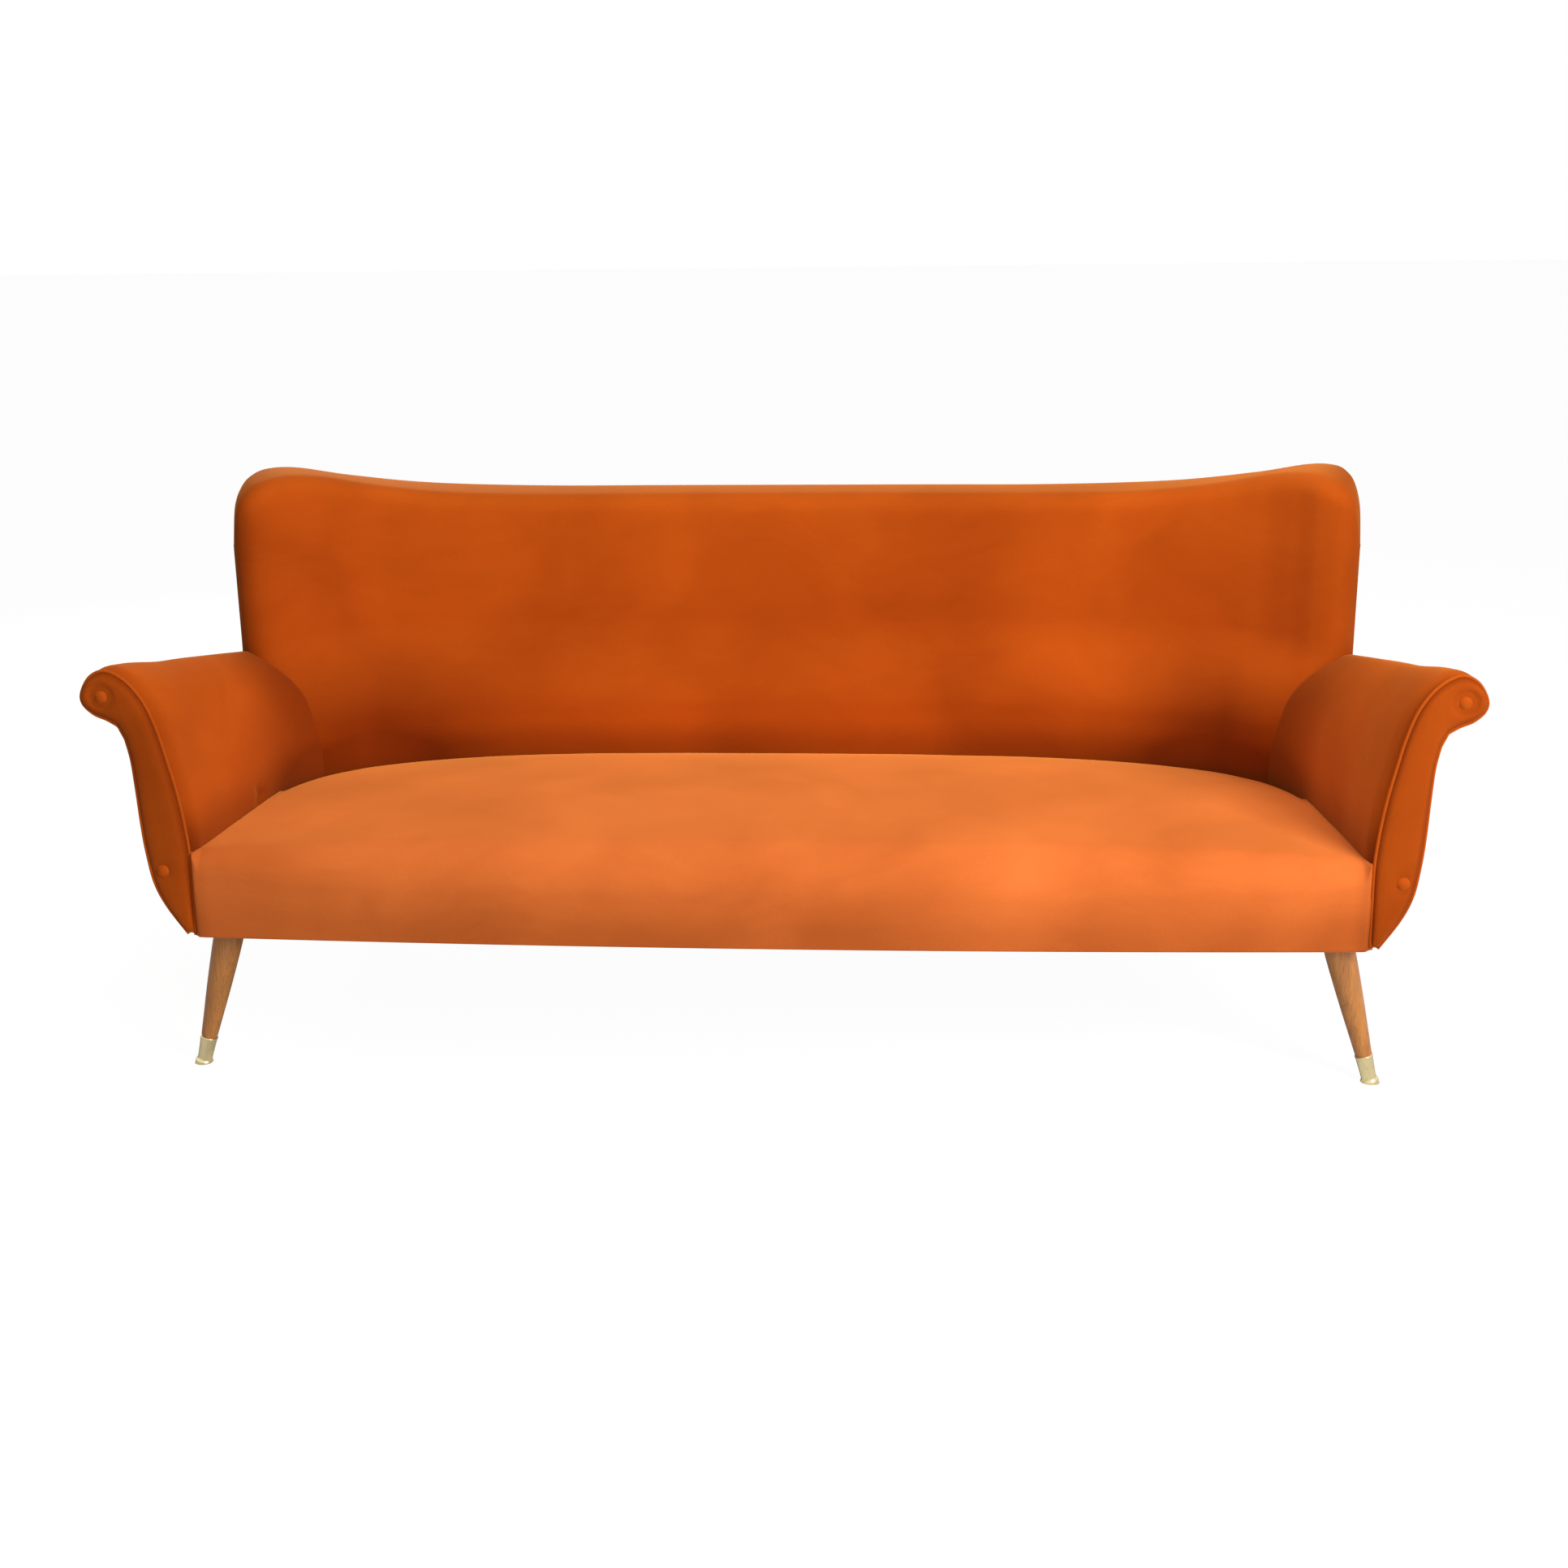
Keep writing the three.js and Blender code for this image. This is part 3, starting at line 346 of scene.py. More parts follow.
# Seat: one crowned sheet that runs down the front to the bottom edge. rearShares gives the rear
# edge from the middle to the arm, across and back.
seat = {
    "halfWidth": 880, "rearHalfWidth": 830, "depth": 580, "armDepth": 418, "armGap": 3,
    "edge": 365, "crown": 35, "bow": 20, "rise": 7, "tuck": 300, "bottom": 232,
    "round": 62, "endRound": 34, "frontRoomShare": 0.45, "rearRound": 9, "rearRoomShare": 0.2,
    "sideRound": 6, "sideRoundShare": 0.98, "endShare": 0.9985,
    "belly": 2.2, "bellyUneven": 0.8, "uneven": 1.3, "thickness": 2,
    "columns": 241, "rearRows": 6, "topRows": 56, "frontRows": 18, "dropRows": 26, "curveSteps": 200,
    "hem": ((2.5, 1.2), (14, 0.9)), "wrap": ((4, 9), (11, 13)), "wrapFade": (330, 300),
    "rearShares": [[0, 0.994], [0.25, 0.99], [0.5, 0.965], [0.67, 0.912], [0.8, 0.832],
                   [0.86, 0.765], [0.9, 0.7], [0.93, 0.62], [0.945, 0.56]],
    "paintedShade": {"rear": 0.6, "rearFade": (-45, 0), "side": 0.3, "sideFade": (850, 880),
                "hem": 0.35, "hemFade": (240, 340)},
}
rearCurve = evenly(seat["rearShares"], seat["curveSteps"])


# Rear edge at x: the curve along the back, or the line beside the arm where that is nearer
def seatRear(x):
    curved = np.interp(np.abs(x) / seat["halfWidth"], rearCurve[:, 0], rearCurve[:, 1])
    way = (np.abs(x) - seat["rearHalfWidth"]) / (seat["halfWidth"] - seat["rearHalfWidth"])
    beside = seat["armDepth"] * (1 - way) - seat["armGap"]
    return np.where(way > 0, np.minimum(beside, curved * seat["depth"]), curved * seat["depth"])


# Front line at x, bowed forwards: -bow * (1 - x^2), with x as a share of the half width
def seatFront(x):
    return -seat["bow"] * (1 - (x / seat["halfWidth"]) ** 2)


# Height of the seat: edge + crown * (1 - |x|^3) * sin(pi * depth)^0.5, with x as a share of the
# half width and depth as a share of the way back, and a little more beside the arms
def seatTop(x, depth):
    side = 1 - np.abs(x / seat["halfWidth"]) ** 3
    start = seatFront(x)
    share = np.clip((depth - start) / (seatRear(x) - start), 0, 1)
    return (seat["edge"] + seat["crown"] * side * np.sin(math.pi * share) ** 0.5
            + seat["rise"] * smooth(depth, 0, seat["armDepth"]) * (1 - side))


# Rows over the seat at places x: round its rear edge, forward over the crown and round the
# front edge, drawn in by an inset. Returns the rows, the front line and the height below.
def seatSkin(x, inset):
    across = np.abs(x / seat["halfWidth"])
    end = seat["halfWidth"] - seat["sideRound"]
    turn = np.clip((np.abs(x) - end) / seat["sideRound"], 0, 1)
    drawn = seat["sideRound"] * (1 - np.sqrt(1 - turn**2 * seat["sideRoundShare"]))
    front = inset + seatFront(x) + drawn
    rear = seatRear(x) - inset
    room = np.maximum(rear - front, 2)
    nose = seat["round"] - (seat["round"] - seat["endRound"]) * across**5
    nose = np.minimum(nose, room * seat["frontRoomShare"])
    heel = np.minimum(seat["rearRound"], room * seat["rearRoomShare"])
    top = seatTop(x, rear - heel) - inset
    rows = []
    for s, c in quarterTurn(seat["rearRows"]):
        rows.append(np.column_stack([x, rear - heel * (1 - c), top - heel * (1 - s)]))
    for share in np.linspace(0, 1, seat["topRows"])[1:]:
        depth = (rear - heel) + (front + nose - rear + heel) * share
        lift = unevenness(x, depth, seat["uneven"]) * math.sin(math.pi * share) ** 0.5
        z = seatTop(x, depth) - inset + lift * (1 - across**6)
        rows.append(np.column_stack([x, depth, z]))
    for s, c in quarterTurn(seat["frontRows"])[1:]:
        depth = front + nose * (1 - s)
        rows.append(np.column_stack([x, depth, seatTop(x, depth) - inset - nose * (1 - c)]))
    return rows, front, rows[-1][:, 2]


# The cover goes on down the front to the hem, and its ends go behind the feet of the facings
def seatCover():
    t = np.linspace(-1, 1, seat["columns"])
    crowded = np.sign(t) * (1 - (1 - np.abs(t)) ** 1.25)  # columns lie closer towards the ends
    x = seat["halfWidth"] * seat["endShare"] * crowded
    rows, front, below = seatSkin(x, 0)
    rows.insert(0, np.column_stack([x, seatRear(x) - 1, np.full_like(x, seat["tuck"])]))
    for share in np.linspace(0, 1, seat["dropRows"])[1:]:
        z = below + (seat["bottom"] - below) * share
        belly = (seat["belly"] + unevenness(x, z, seat["bellyUneven"])) * math.sin(math.pi * share)
        rows.append(np.column_stack([x, front - belly, z]))
    for way, drop in seat["hem"]:
        rows.append(np.column_stack([x, front + way, np.full_like(x, seat["bottom"] - drop)]))
    rows = np.array(rows)
    low = smooth(rows[:, -1, 2], *seat["wrapFade"])[:, None]
    wrapped = []
    for out, deep in seat["wrap"]:
        side = rows[:, -1] + np.array([out, 0, 0]) * low
        side[:, 1] = np.maximum(side[:, 1], deep)
        wrapped.append(side)
    wrapped = np.array(wrapped).transpose(1, 0, 2)
    rows = np.concatenate([wrapped[:, ::-1] * [-1, 1, 1], rows, wrapped], axis=1)
    x, depth, z = rows[..., 0], rows[..., 1], rows[..., 2]
    # Painted shade: darker at the rear edge against the back, beside the arms and low on the front
    # towards the hem
    shadeShares = seat["paintedShade"]
    paintedShade = (np.maximum(shadeShares["rear"] * smooth(depth - seatRear(x), *shadeShares["rearFade"]),
                          shadeShares["side"] * smooth(np.abs(x), *shadeShares["sideFade"]))
               + shadeShares["hem"] * (1 - smooth(z, *shadeShares["hemFade"])))
    return sheet("seatTop", rows, (0, -0.5, 1), seat["thickness"], paintedShade)


# Foam under the seat cover, down to the webbing: the cover's rows drawn in, closed by a flat base
seatPad = {"endShare": 0.975, "inset": 5, "base": 293, "sections": 61}


def seatFoam():
    x = np.linspace(-1, 1, seatPad["sections"]) * seatPad["endShare"] * seat["halfWidth"]
    rows, front, _ = seatSkin(x, seatPad["inset"])
    base = np.full_like(x, seatPad["base"])
    rings = [np.column_stack([x, rows[0][:, 1], base]), *rows[1:], np.column_stack([x, front, base])]
    rings = np.array(rings).transpose(1, 0, 2)
    return facingOut(build("seatFoam", rings, around=True, ends=True))


# Arms: section shares across and up, at the front and where the arm meets the back. The inner
# outline runs from the seat over the top and round the scroll, the outer one from there down.
arm = {
    "nearX": 880, "farX": 1025, "height": 650, "rearNearX": 830, "rearFarX": 932,
    "rearHeight": 586, "depth": 418, "facing": 9, "inset": 4.5, "footInset": 2, "footColumns": (0.5, 3),
    "frontRound": 20, "rearRound": 8, "rearRoundShare": 0.6, "innerPast": 8, "outerPast": 15,
    "tail": 18, "tailColumns": (9, 11), "fillet": 36, "filletStart": 290, "filletColumns": (2.5, 9.5),
    "filletBackShare": 0.55, "swell": 2.5, "uneven": 0.9, "roll": 5, "rollRise": 24,
    "rollFade": (60, 170), "hidden": 4, "thickness": 3,
    "frontRows": 12, "frontGap": 6, "rows": 42, "rearGap": 14, "rearRows": (9, 5, 2.5, 1, 0.2),
    "innerColumns": 120, "outerColumns": 60,
    "innerShares": [[0.025, 0.366], [0.015, 0.455], [0, 0.555], [0.02, 0.63], [0.07, 0.71],
                    [0.14, 0.785], [0.22, 0.86], [0.33, 0.925], [0.5, 0.975], [0.71, 1],
                    [0.89, 0.985], [1, 0.945], [0.99, 0.915], [0.88, 0.89], [0.75, 0.877],
                    [0.64, 0.862]],
    "outerShares": [[0.59, 0.835], [0.55, 0.785], [0.53, 0.71], [0.515, 0.63], [0.49, 0.56],
                    [0.435, 0.49], [0.32, 0.432], [0.11, 0.361]],
    "innerRearShares": [[0.05, 0.445], [0.02, 0.51], [0, 0.615], [0, 0.7], [0.04, 0.785],
                        [0.13, 0.853], [0.25, 0.905], [0.43, 0.95], [0.64, 0.983], [0.8, 1],
                        [0.94, 0.995], [1, 0.978], [1, 0.96], [0.99, 0.942], [0.98, 0.925],
                        [0.96, 0.908]],
    "outerRearShares": [[0.94, 0.887], [0.93, 0.836], [0.92, 0.768], [0.91, 0.7], [0.89, 0.615],
                        [0.83, 0.546], [0.72, 0.478], [0.54, 0.418]],
    "paintedShade": {"low": 0.7, "lowFade": (370, 450), "rear": 0.85, "rearFade": (250, 440),
                "front": 0.35, "frontFade": (8, 40)},
}


# Front and rear section curves across and up, at parameters t
def armCurves(part, t):
    front = along(arm[part + "Shares"], t)
    rear = along(arm[part + "RearShares"], t)
    frontLine = np.stack([arm["nearX"] + front[:, 0] * (arm["farX"] - arm["nearX"]),
                          front[:, 1] * arm["height"]], axis=1)
    rearLine = np.stack([arm["rearNearX"] + rear[:, 0] * (arm["rearFarX"] - arm["rearNearX"]),
                         rear[:, 1] * arm["rearHeight"]], axis=1)
    return frontLine, rearLine


# A line drawn towards its inner side, on the right of someone who walks along it
def inwards(line, distance):
    ahead = np.gradient(line, axis=0)
    ahead /= np.linalg.norm(ahead, axis=1)[:, None]
    return line + np.stack([ahead[:, 1], -ahead[:, 0]], axis=1) * distance


# How far the facing's edge is drawn in at t: little at the foot, where it meets the seat
def edgeInset(part, t):
    fromFoot = t if part == "inner" else len(arm["outerShares"]) - 1 - t
    return arm["footInset"] + (arm["inset"] - arm["footInset"]) * smooth(fromFoot, *arm["footColumns"])


# How far a rounded end of radius r is drawn in at s from it: r - sqrt(r^2 - (r - s)^2)
def endRound(s, r):
    s = min(max(s, 0), r)
    return r - math.sqrt(max(r**2 - (r - s) ** 2, 0))


# Rows at depths from the facing back to the wing: the section goes evenly from its front to its
# rear curve, with both ends rounded off and the stuffing's swell. The inner part's rear end
# spreads out against the back, across by fillet * turn^2.2 and back by a share of turn^3.
def armSurface(part, columns):
    t = np.linspace(0, len(arm[part + "Shares"]) - 1, columns)
    isInner = part == "inner"
    frontLine, rearLine = armCurves(part, t)
    near, far = arm["facing"] + 1, arm["depth"] + arm["innerPast" if isInner else "outerPast"]
    soft = arm["frontRound"]
    depths = [*(near + soft * (1 - np.cos(np.linspace(0, math.pi / 2, arm["frontRows"])))),
              *np.linspace(near + soft + arm["frontGap"], far - arm["rearGap"], arm["rows"]),
              *(far - np.array(arm["rearRows"]))]
    spread = arm["fillet"] * (1 - smooth(t, *arm["filletColumns"])) * isInner
    behind = smooth(t, *arm["tailColumns"]) * isInner
    rearShare = arm["rearRoundShare"] + behind
    stretch = spread * arm["filletBackShare"] + arm["tail"] * behind
    bulge = np.sin(np.pi * t / t[-1])
    start = inwards(frontLine, edgeInset(part, t)[:, None] + arm["hidden"])
    rows = [np.column_stack([start[:, 0], np.full(columns, near - 1.0), start[:, 1]])]
    for depth in depths:
        line = frontLine + (rearLine - frontLine) * depth / arm["depth"]
        inset = (endRound(depth - near, soft) / soft * (edgeInset(part, t) + 1)
                 + endRound(far - depth, arm["rearRound"]) * rearShare)
        middle = math.sin(math.pi * min(max((depth - near) / (far - near), 0), 1))
        roll = smooth(depth, near, near + arm["rollRise"]) * (1 - smooth(depth, *arm["rollFade"]))
        swell = (arm["swell"] * middle * bulge + unevenness(t * 40, depth, arm["uneven"]) * middle
                 + arm["roll"] * roll * bulge**0.5)
        line = inwards(line, (inset - swell * isInner)[:, None])
        turn = max((depth - arm["filletStart"]) / (far - arm["filletStart"]), 0)
        rows.append(np.column_stack([line[:, 0] - spread * turn**2.2, depth + stretch * turn**3,
                                     line[:, 1]]))
    return np.array(rows)


# Cover over the inside of the arm and round the scroll, with painted shade low down by the seat, towards
# the back and beside the facing
def armCover():
    rows = armSurface("inner", arm["innerColumns"])
    depth, z = rows[..., 1], rows[..., 2]
    shadeShares = arm["paintedShade"]
    paintedShade = (shadeShares["low"] * (1 - smooth(z, *shadeShares["lowFade"]))
               + shadeShares["rear"] * smooth(depth, *shadeShares["rearFade"])
               + shadeShares["front"] * (1 - smooth(depth, *shadeShares["frontFade"])))
    return sheet("rightArmCover", rows, (-1, 0, 0.5), arm["thickness"], paintedShade)


# Small gather where the cloth of the left arm is caught: pressed in by deep * e^-(r / radius)^2,
# with three folds
catch = {"place": (-850, 250, 388), "radius": 14, "deep": 9, "foldShares": (0.55, 0.45)}


def gather(obj):
    mesh = obj.data
    co = np.zeros(len(mesh.vertices) * 3)
    mesh.vertices.foreach_get("co", co)
    co = co.reshape(-1, 3)
    x, depth, z = catch["place"]
    offset = co / mm - np.array([x, depth + frontY, z])
    far = np.linalg.norm(offset, axis=1)
    even, folded = catch["foldShares"]
    folds = even + folded * np.cos(3 * np.arctan2(offset[:, 2], offset[:, 1]))
    co[:, 0] += math.copysign(catch["deep"] * mm, x) * np.exp(-(far / catch["radius"]) ** 2) * folds
    mesh.vertices.foreach_set("co", co.ravel())
    mesh.update()


# The outer cover runs down from under the scroll and turns in below to the side rail. scroll is
# the stretch of the inner part's columns that it starts from, and lift tucks it under them.
panel = {"scroll": (-6, -3), "lift": (-4, 0, 4), "rail": 872, "railRun": 50, "hemDrop": 0.5,
         "underRows": 6}


# Outer side of the side rail at a depth, from its place in front: it runs in towards the rear
def railX(depth, x):
    return x - panel["railRun"] * np.clip(depth / arm["depth"], 0, 1)


def outsidePanel():
    rows = armSurface("outer", arm["outerColumns"])
    first, last = panel["scroll"]
    scroll = armSurface("inner", arm["outerColumns"])[:, first:last][:, ::-1]
    scroll[..., 1] = rows[:, :1, 1]
    scroll += np.array(panel["lift"])
    rows = np.concatenate([scroll, rows], axis=1)
    edge = rows[:, -1]
    under = []
    for share in np.linspace(0, 1, panel["underRows"] + 1)[1:]:
        point = edge.copy()
        point[:, 0] += (railX(rows[:, 0, 1], panel["rail"]) - edge[:, 0]) * share
        point[:, 2] += (seat["bottom"] - panel["hemDrop"] - edge[:, 2]) * math.sin(share * math.pi / 2)
        under.append(point)
    rows = np.concatenate([rows, np.array(under).transpose(1, 0, 2)], axis=1)
    return sheet("rightArmPanel", rows, (1, 0, -0.4), arm["thickness"])


# Padded front panel, ruled between its inner and its outer edge. Its front lies at
# edge - crown * (1 - |2w - 1|^3)^0.55 at share w across, eased to nothing at the foot and at the
# scroll's tip, with a dimple round each button and a groove round the scroll's.
frontPad = {
    "innerSteps": 160, "outerSteps": 80, "tip": 11, "steps": 110, "across": 33,
    "crown": 9, "behind": 1, "easeShare": 0.06, "thickness": 2.5,
    "dimple": 4, "dimpleFold": 0.5, "dimpleRadius": 13,
    "groove": 2.4, "grooveRadius": 16, "grooveStretches": 6, "grooveWidth": 3,
    "paintedShade": {"middle": 0.32, "border": 0.5, "borderFade": (0.7, 1)},
    "buttonShares": {"Scroll": [0.765, 0.937], "Lower": [0.3, 0.52]},
}


# A button's place on the front of the arm, across and up
def buttonPlace(name):
    u, v = frontPad["buttonShares"][name]
    return np.array([arm["nearX"] + u * (arm["farX"] - arm["nearX"]), v * arm["height"]])


# Distance and angle round a button of offsets from it
def roundButton(offset):
    return np.linalg.norm(offset, axis=2), np.arctan2(offset[..., 1], offset[..., 0])


# Dimple in the facing round a button, with five small folds: depth * e^-(r / radius)^2
def dimple(offset):
    far, turn = roundButton(offset)
    deep = frontPad["dimple"] + frontPad["dimpleFold"] * np.cos(5 * turn)
    return deep * np.exp(-(far / frontPad["dimpleRadius"]) ** 2)


# Groove round a button in short stretches, each of which runs outwards by 1
def groove(offset):
    far, turn = roundButton(offset)
    outwards = (frontPad["grooveStretches"] * (turn / (2 * math.pi) + 0.25)) % 1
    radius = frontPad["grooveRadius"] + outwards
    return frontPad["groove"] * np.exp(-((far - radius) / frontPad["grooveWidth"]) ** 2)


# 0 at both ends of the shares, rising as a quarter circle to 1
def easedEnds(share):
    rise = np.clip(1 - np.minimum(share, 1 - share) / frontPad["easeShare"], 0, 1)
    return np.sqrt(np.clip(1 - rise**2, 0, 1))


# The panel and its edge, which the piping follows
def facingPanel():
    t = np.linspace(0, len(arm["innerShares"]) - 1, frontPad["innerSteps"])
    down = np.linspace(0, len(arm["outerShares"]) - 1, frontPad["outerSteps"])
    inner = inwards(armCurves("inner", t)[0], edgeInset("inner", t)[:, None])
    outer = inwards(armCurves("outer", down)[0], edgeInset("outer", down)[:, None])
    innerSide = evenly(inner[t <= frontPad["tip"]], frontPad["steps"])
    outerSide = np.concatenate([outer[::-1], inner[t >= frontPad["tip"]][::-1]])
    outerSide = evenly(outerSide, frontPad["steps"])
    w = (1 - np.cos(np.linspace(0, math.pi, frontPad["across"])))[None] / 2
    crown = np.clip(1 - np.abs(2 * w - 1) ** 3, 0, 1) ** 0.55
    flat = innerSide[:, None] * (1 - w[..., None]) + outerSide[:, None] * w[..., None]
    depth = (arm["facing"] - frontPad["behind"]
             - frontPad["crown"] * crown * easedEnds(np.linspace(0, 1, frontPad["steps"])[:, None]))
    for name in frontPad["buttonShares"]:
        depth = depth + dimple(flat - buttonPlace(name))
    depth = depth + groove(flat - buttonPlace("Scroll"))
    rows = np.stack([flat[..., 0], depth, flat[..., 1]], axis=2)
    # Painted shade over the whole facing, deeper along its edges by the piping
    shadeShares = frontPad["paintedShade"]
    paintedShade = shadeShares["middle"] + shadeShares["border"] * smooth(np.abs(2 * w - 1), *shadeShares["borderFade"])
    paintedShade = np.broadcast_to(paintedShade, depth.shape)
    obj = sheet("rightFacing", rows, (0, -1, 0), frontPad["thickness"], paintedShade)
    return obj, np.concatenate([innerSide, outerSide[:-1][::-1]])


# Cord sewn round the facing's edge, from its foot over the scroll and back down outside
piping = {"radius": 2.4, "sides": 10, "steps": 260, "out": 1.4}


def facingPiping(edge):
    path = inwards(evenly(edge, piping["steps"]), -piping["out"])
    path = evenly(path, piping["steps"])
    depth = np.full(len(path), arm["facing"] - piping["out"])
    return tube("rightPiping", np.column_stack([path[:, 0], depth, path[:, 1]]), piping["radius"],
                piping["sides"])


# Covered button: height * (1 - (r / radius)^2.6) over its radius, rolled under at the rim
cap = {"depth": 3.5, "radius": 11, "height": 6.5, "middle": 0.01, "sides": 32, "rings": 12,
       "domeShare": 0.985, "rim": [(1, 0), (0.96, -1.2), (0.8, -2)]}


def button(name):
    x, z = buttonPlace(name)
    profile = [(cap["middle"] + cap["radius"] * s, cap["height"] * (1 - s**2.6))
               for s in np.linspace(0, cap["domeShare"], cap["rings"])]
    profile += [(cap["radius"] * share, h) for share, h in cap["rim"]]
    profile += [(cap["middle"], cap["rim"][-1][1])]
    angle = np.arange(cap["sides"]) * 2 * math.pi / cap["sides"]
    rows = [np.column_stack([x + r * np.cos(angle), np.full(cap["sides"], cap["depth"] - h),
                             z + r * np.sin(angle)]) for r, h in profile]
    return facingOut(build(f"right{name}Button", np.array(rows), around=True, ends=True))


# Legs: each outline runs from the top plate down, as way below the plate and radius
leg = {
    "top": 225.1, "splay": math.radians(15.5), "sides": 48, "finePerPoint": 5, "middle": 0.5,
    "places": {"Front": (848, 55, 0), "Rear": (755, 640, math.pi / 4)},
    "Leg": [(-8, 23), (0, 23), (30, 22.2), (70, 20.2), (110, 17.8), (150, 15), (189.4, 12.3)],
    "Ferrule": [(186.5, 12.6), (186.9, 13.5), (188.2, 13.8), (189.5, 13.5), (191, 13.1),
                (205, 12.2), (219, 11.5), (225, 11.5), (227.5, 12.4), (229, 13.4), (231, 13.7),
                (240, 13.5)],
    "bevel": 0.5, "bevelSegments": 2, "bevelAngle": math.radians(50),
}


# A round piece: its outline's radius carried round the leg's slanted axis, and cut level at the
# top plate and at the floor
def turned(kind, end):
    x, depth, turn = leg["places"][end]
    matrix = (Matrix.Translation((x, depth, leg["top"])) @ Matrix.Rotation(turn, 4, "Z")
              @ Matrix.Rotation(-leg["splay"], 4, "Y"))
    outline = leg[kind]
    fine = along(outline, np.linspace(0, len(outline) - 1, leg["finePerPoint"] * len(outline)))
    profile = [(fine[0, 0], leg["middle"]), *fine, (fine[-1, 0], leg["middle"])]
    angle = np.arange(leg["sides"]) * 2 * math.pi / leg["sides"]
    rows = []
    for down, r in profile:
        local = np.column_stack([r * np.cos(angle), r * np.sin(angle), np.full(leg["sides"], -down)])
        rows.append(local @ np.array(matrix.to_3x3()).T + np.array(matrix.translation))
    rows = np.array(rows)
    rows[..., 2] = np.clip(rows[..., 2], 0, leg["top"])
    obj = facingOut(build(f"right{end}{kind}", rows, around=True, ends=True))
    bevel = obj.modifiers.new("edge", "BEVEL")
    bevel.width, bevel.segments, bevel.limit_method = leg["bevel"] * mm, leg["bevelSegments"], "ANGLE"
    bevel.angle_limit = leg["bevelAngle"]
    return obj


# Dust cover: straight from the seat's hem in front to the outside cover's behind, less a sag of
# sag * sin(pi * way back) * sin(pi * way across). It is as wide as the side rails beside the arms
# and as the back behind them.
dust = {"halfWidth": 868, "rail": 866, "wider": 70, "widerFade": (424, 446), "frontGap": 6,
        "rearShare": 0.004, "height": 231.2, "sag": 2.2, "columns": 120, "rows": 40,
        "thickness": 0.8}


def dustCover():
    columns = dust["columns"]
    t = np.linspace(0, lastColumn, columns)
    rear = backRear(t, np.full(columns, float(back["bottom"])))
    x = np.clip(rear[:, 0], -dust["halfWidth"], dust["halfWidth"])
    start = np.column_stack([x, seatFront(x) + dust["frontGap"]])
    end = towardsCentre(rear, dust["rearShare"])
    rows = []
    for share in np.linspace(0, 1, dust["rows"]):
        point = start * (1 - share) + end * share
        depth = point[:, 1]
        side = railX(depth, dust["rail"]) + dust["wider"] * smooth(depth, *dust["widerFade"])
        sag = dust["sag"] * math.sin(math.pi * share) * np.sin(math.pi * np.linspace(0, 1, columns))
        rows.append(np.column_stack([np.clip(point[:, 0], -side, side), depth, dust["height"] - sag]))
    return sheet("dustCover", rows, (0, 0, -1), dust["thickness"])


# Foam pads, each in its solid's place but drawn in, so that it stays under its cover
pads = {"back_pad": ("backPad", 9), "right_arm_pad": ("rightArmPad", 2),
        "left_arm_pad": ("leftArmPad", 2)}


def pad(node, name, drawn):
    obj = nodes[node].copy()
    mesh = obj.data = nodes[node].data.copy()
    obj.parent = None
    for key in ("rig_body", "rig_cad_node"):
        if key in obj:
            del obj[key]
    obj.name = mesh.name = name
    bpy.context.scene.collection.objects.link(obj)
    bm = bmesh.new()
    bm.from_mesh(mesh)
    bmesh.ops.remove_doubles(bm, verts=bm.verts, dist=0.0001)
    bm.to_mesh(mesh)
    bm.free()
    obj.modifiers.clear()
    co, normals = np.zeros(len(mesh.vertices) * 3), np.zeros(len(mesh.vertices) * 3)
    mesh.vertices.foreach_get("co", co)
    mesh.vertices.foreach_get("normal", normals)
    mesh.vertices.foreach_set("co", co - normals * drawn * mm)
    mesh.update()
    mesh.polygons.foreach_set("use_smooth", [True] * len(mesh.polygons))
    return obj


pieces = []


# Rides a piece on the body in its node's stead. fill, the filling's share of a padded piece, is not
# used.
def wear(obj, node, slotName):
    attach(obj, "root")
    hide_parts(node)
    pieces.append((obj, slotName))
    return obj


# A piece on the right side and its mirror image on the left
def wearBoth(obj, node, slotName, fill=None):
    left = mirrored(obj, obj.name.replace("right", "left"))
    wear(obj, "right_" + node, slotName)
    wear(left, "left_" + node, slotName)


wear(insideBack(), "inside_back_cover", "velvet")
wear(outsideBack(), "outside_back_cover", "velvet")
wear(seatCover(), "seat_cover", "velvet")
facingPad, facingEdge = facingPanel()
rightArm = [
    (armCover(), "arm_cover", "velvet", 0.95),
    (outsidePanel(), "outside_arm_panel", "velvet"),
    (facingPad, "arm_facing", "velvet", 0.9),
    (facingPiping(facingEdge), "facing_piping", "velvet"),
    (button("Scroll"), "scroll_button", "velvet"),
    (button("Lower"), "lower_button", "velvet"),
]
for piece in rightArm:
    wearBoth(*piece)
gather(bpy.data.objects["leftArmCover"])
for end in leg["places"]:
    for kind, slotName in (("Leg", "leg_wood"), ("Ferrule", "brass")):
        wearBoth(turned(kind, end), f"{end}_{kind}".lower(), slotName)
lining = wear(dustCover(), "dust_cover", "lining")
wear(seatFoam(), "seat_pad", "foam")
for node, (name, drawn) in pads.items():
    wear(pad(node, name, drawn), node, "foam")
print("pieces made", len(pieces))


# A node with its settings, and its inputs set or joined by name, or by number as _0, _1 and on
def put(tree, kind, settings=None, **inputs):
    node = tree.nodes.new("ShaderNode" + kind)
    for key, value in (settings or {}).items():
        setattr(node, key, value)
    for key, value in inputs.items():
        socket = node.inputs[key.replace("_", " ")] if key[:1].isalpha() else node.inputs[int(key[1:])]
        if isinstance(value, bpy.types.NodeSocket):
            tree.links.new(value, socket)
        else:
            socket.default_value = value
    return node


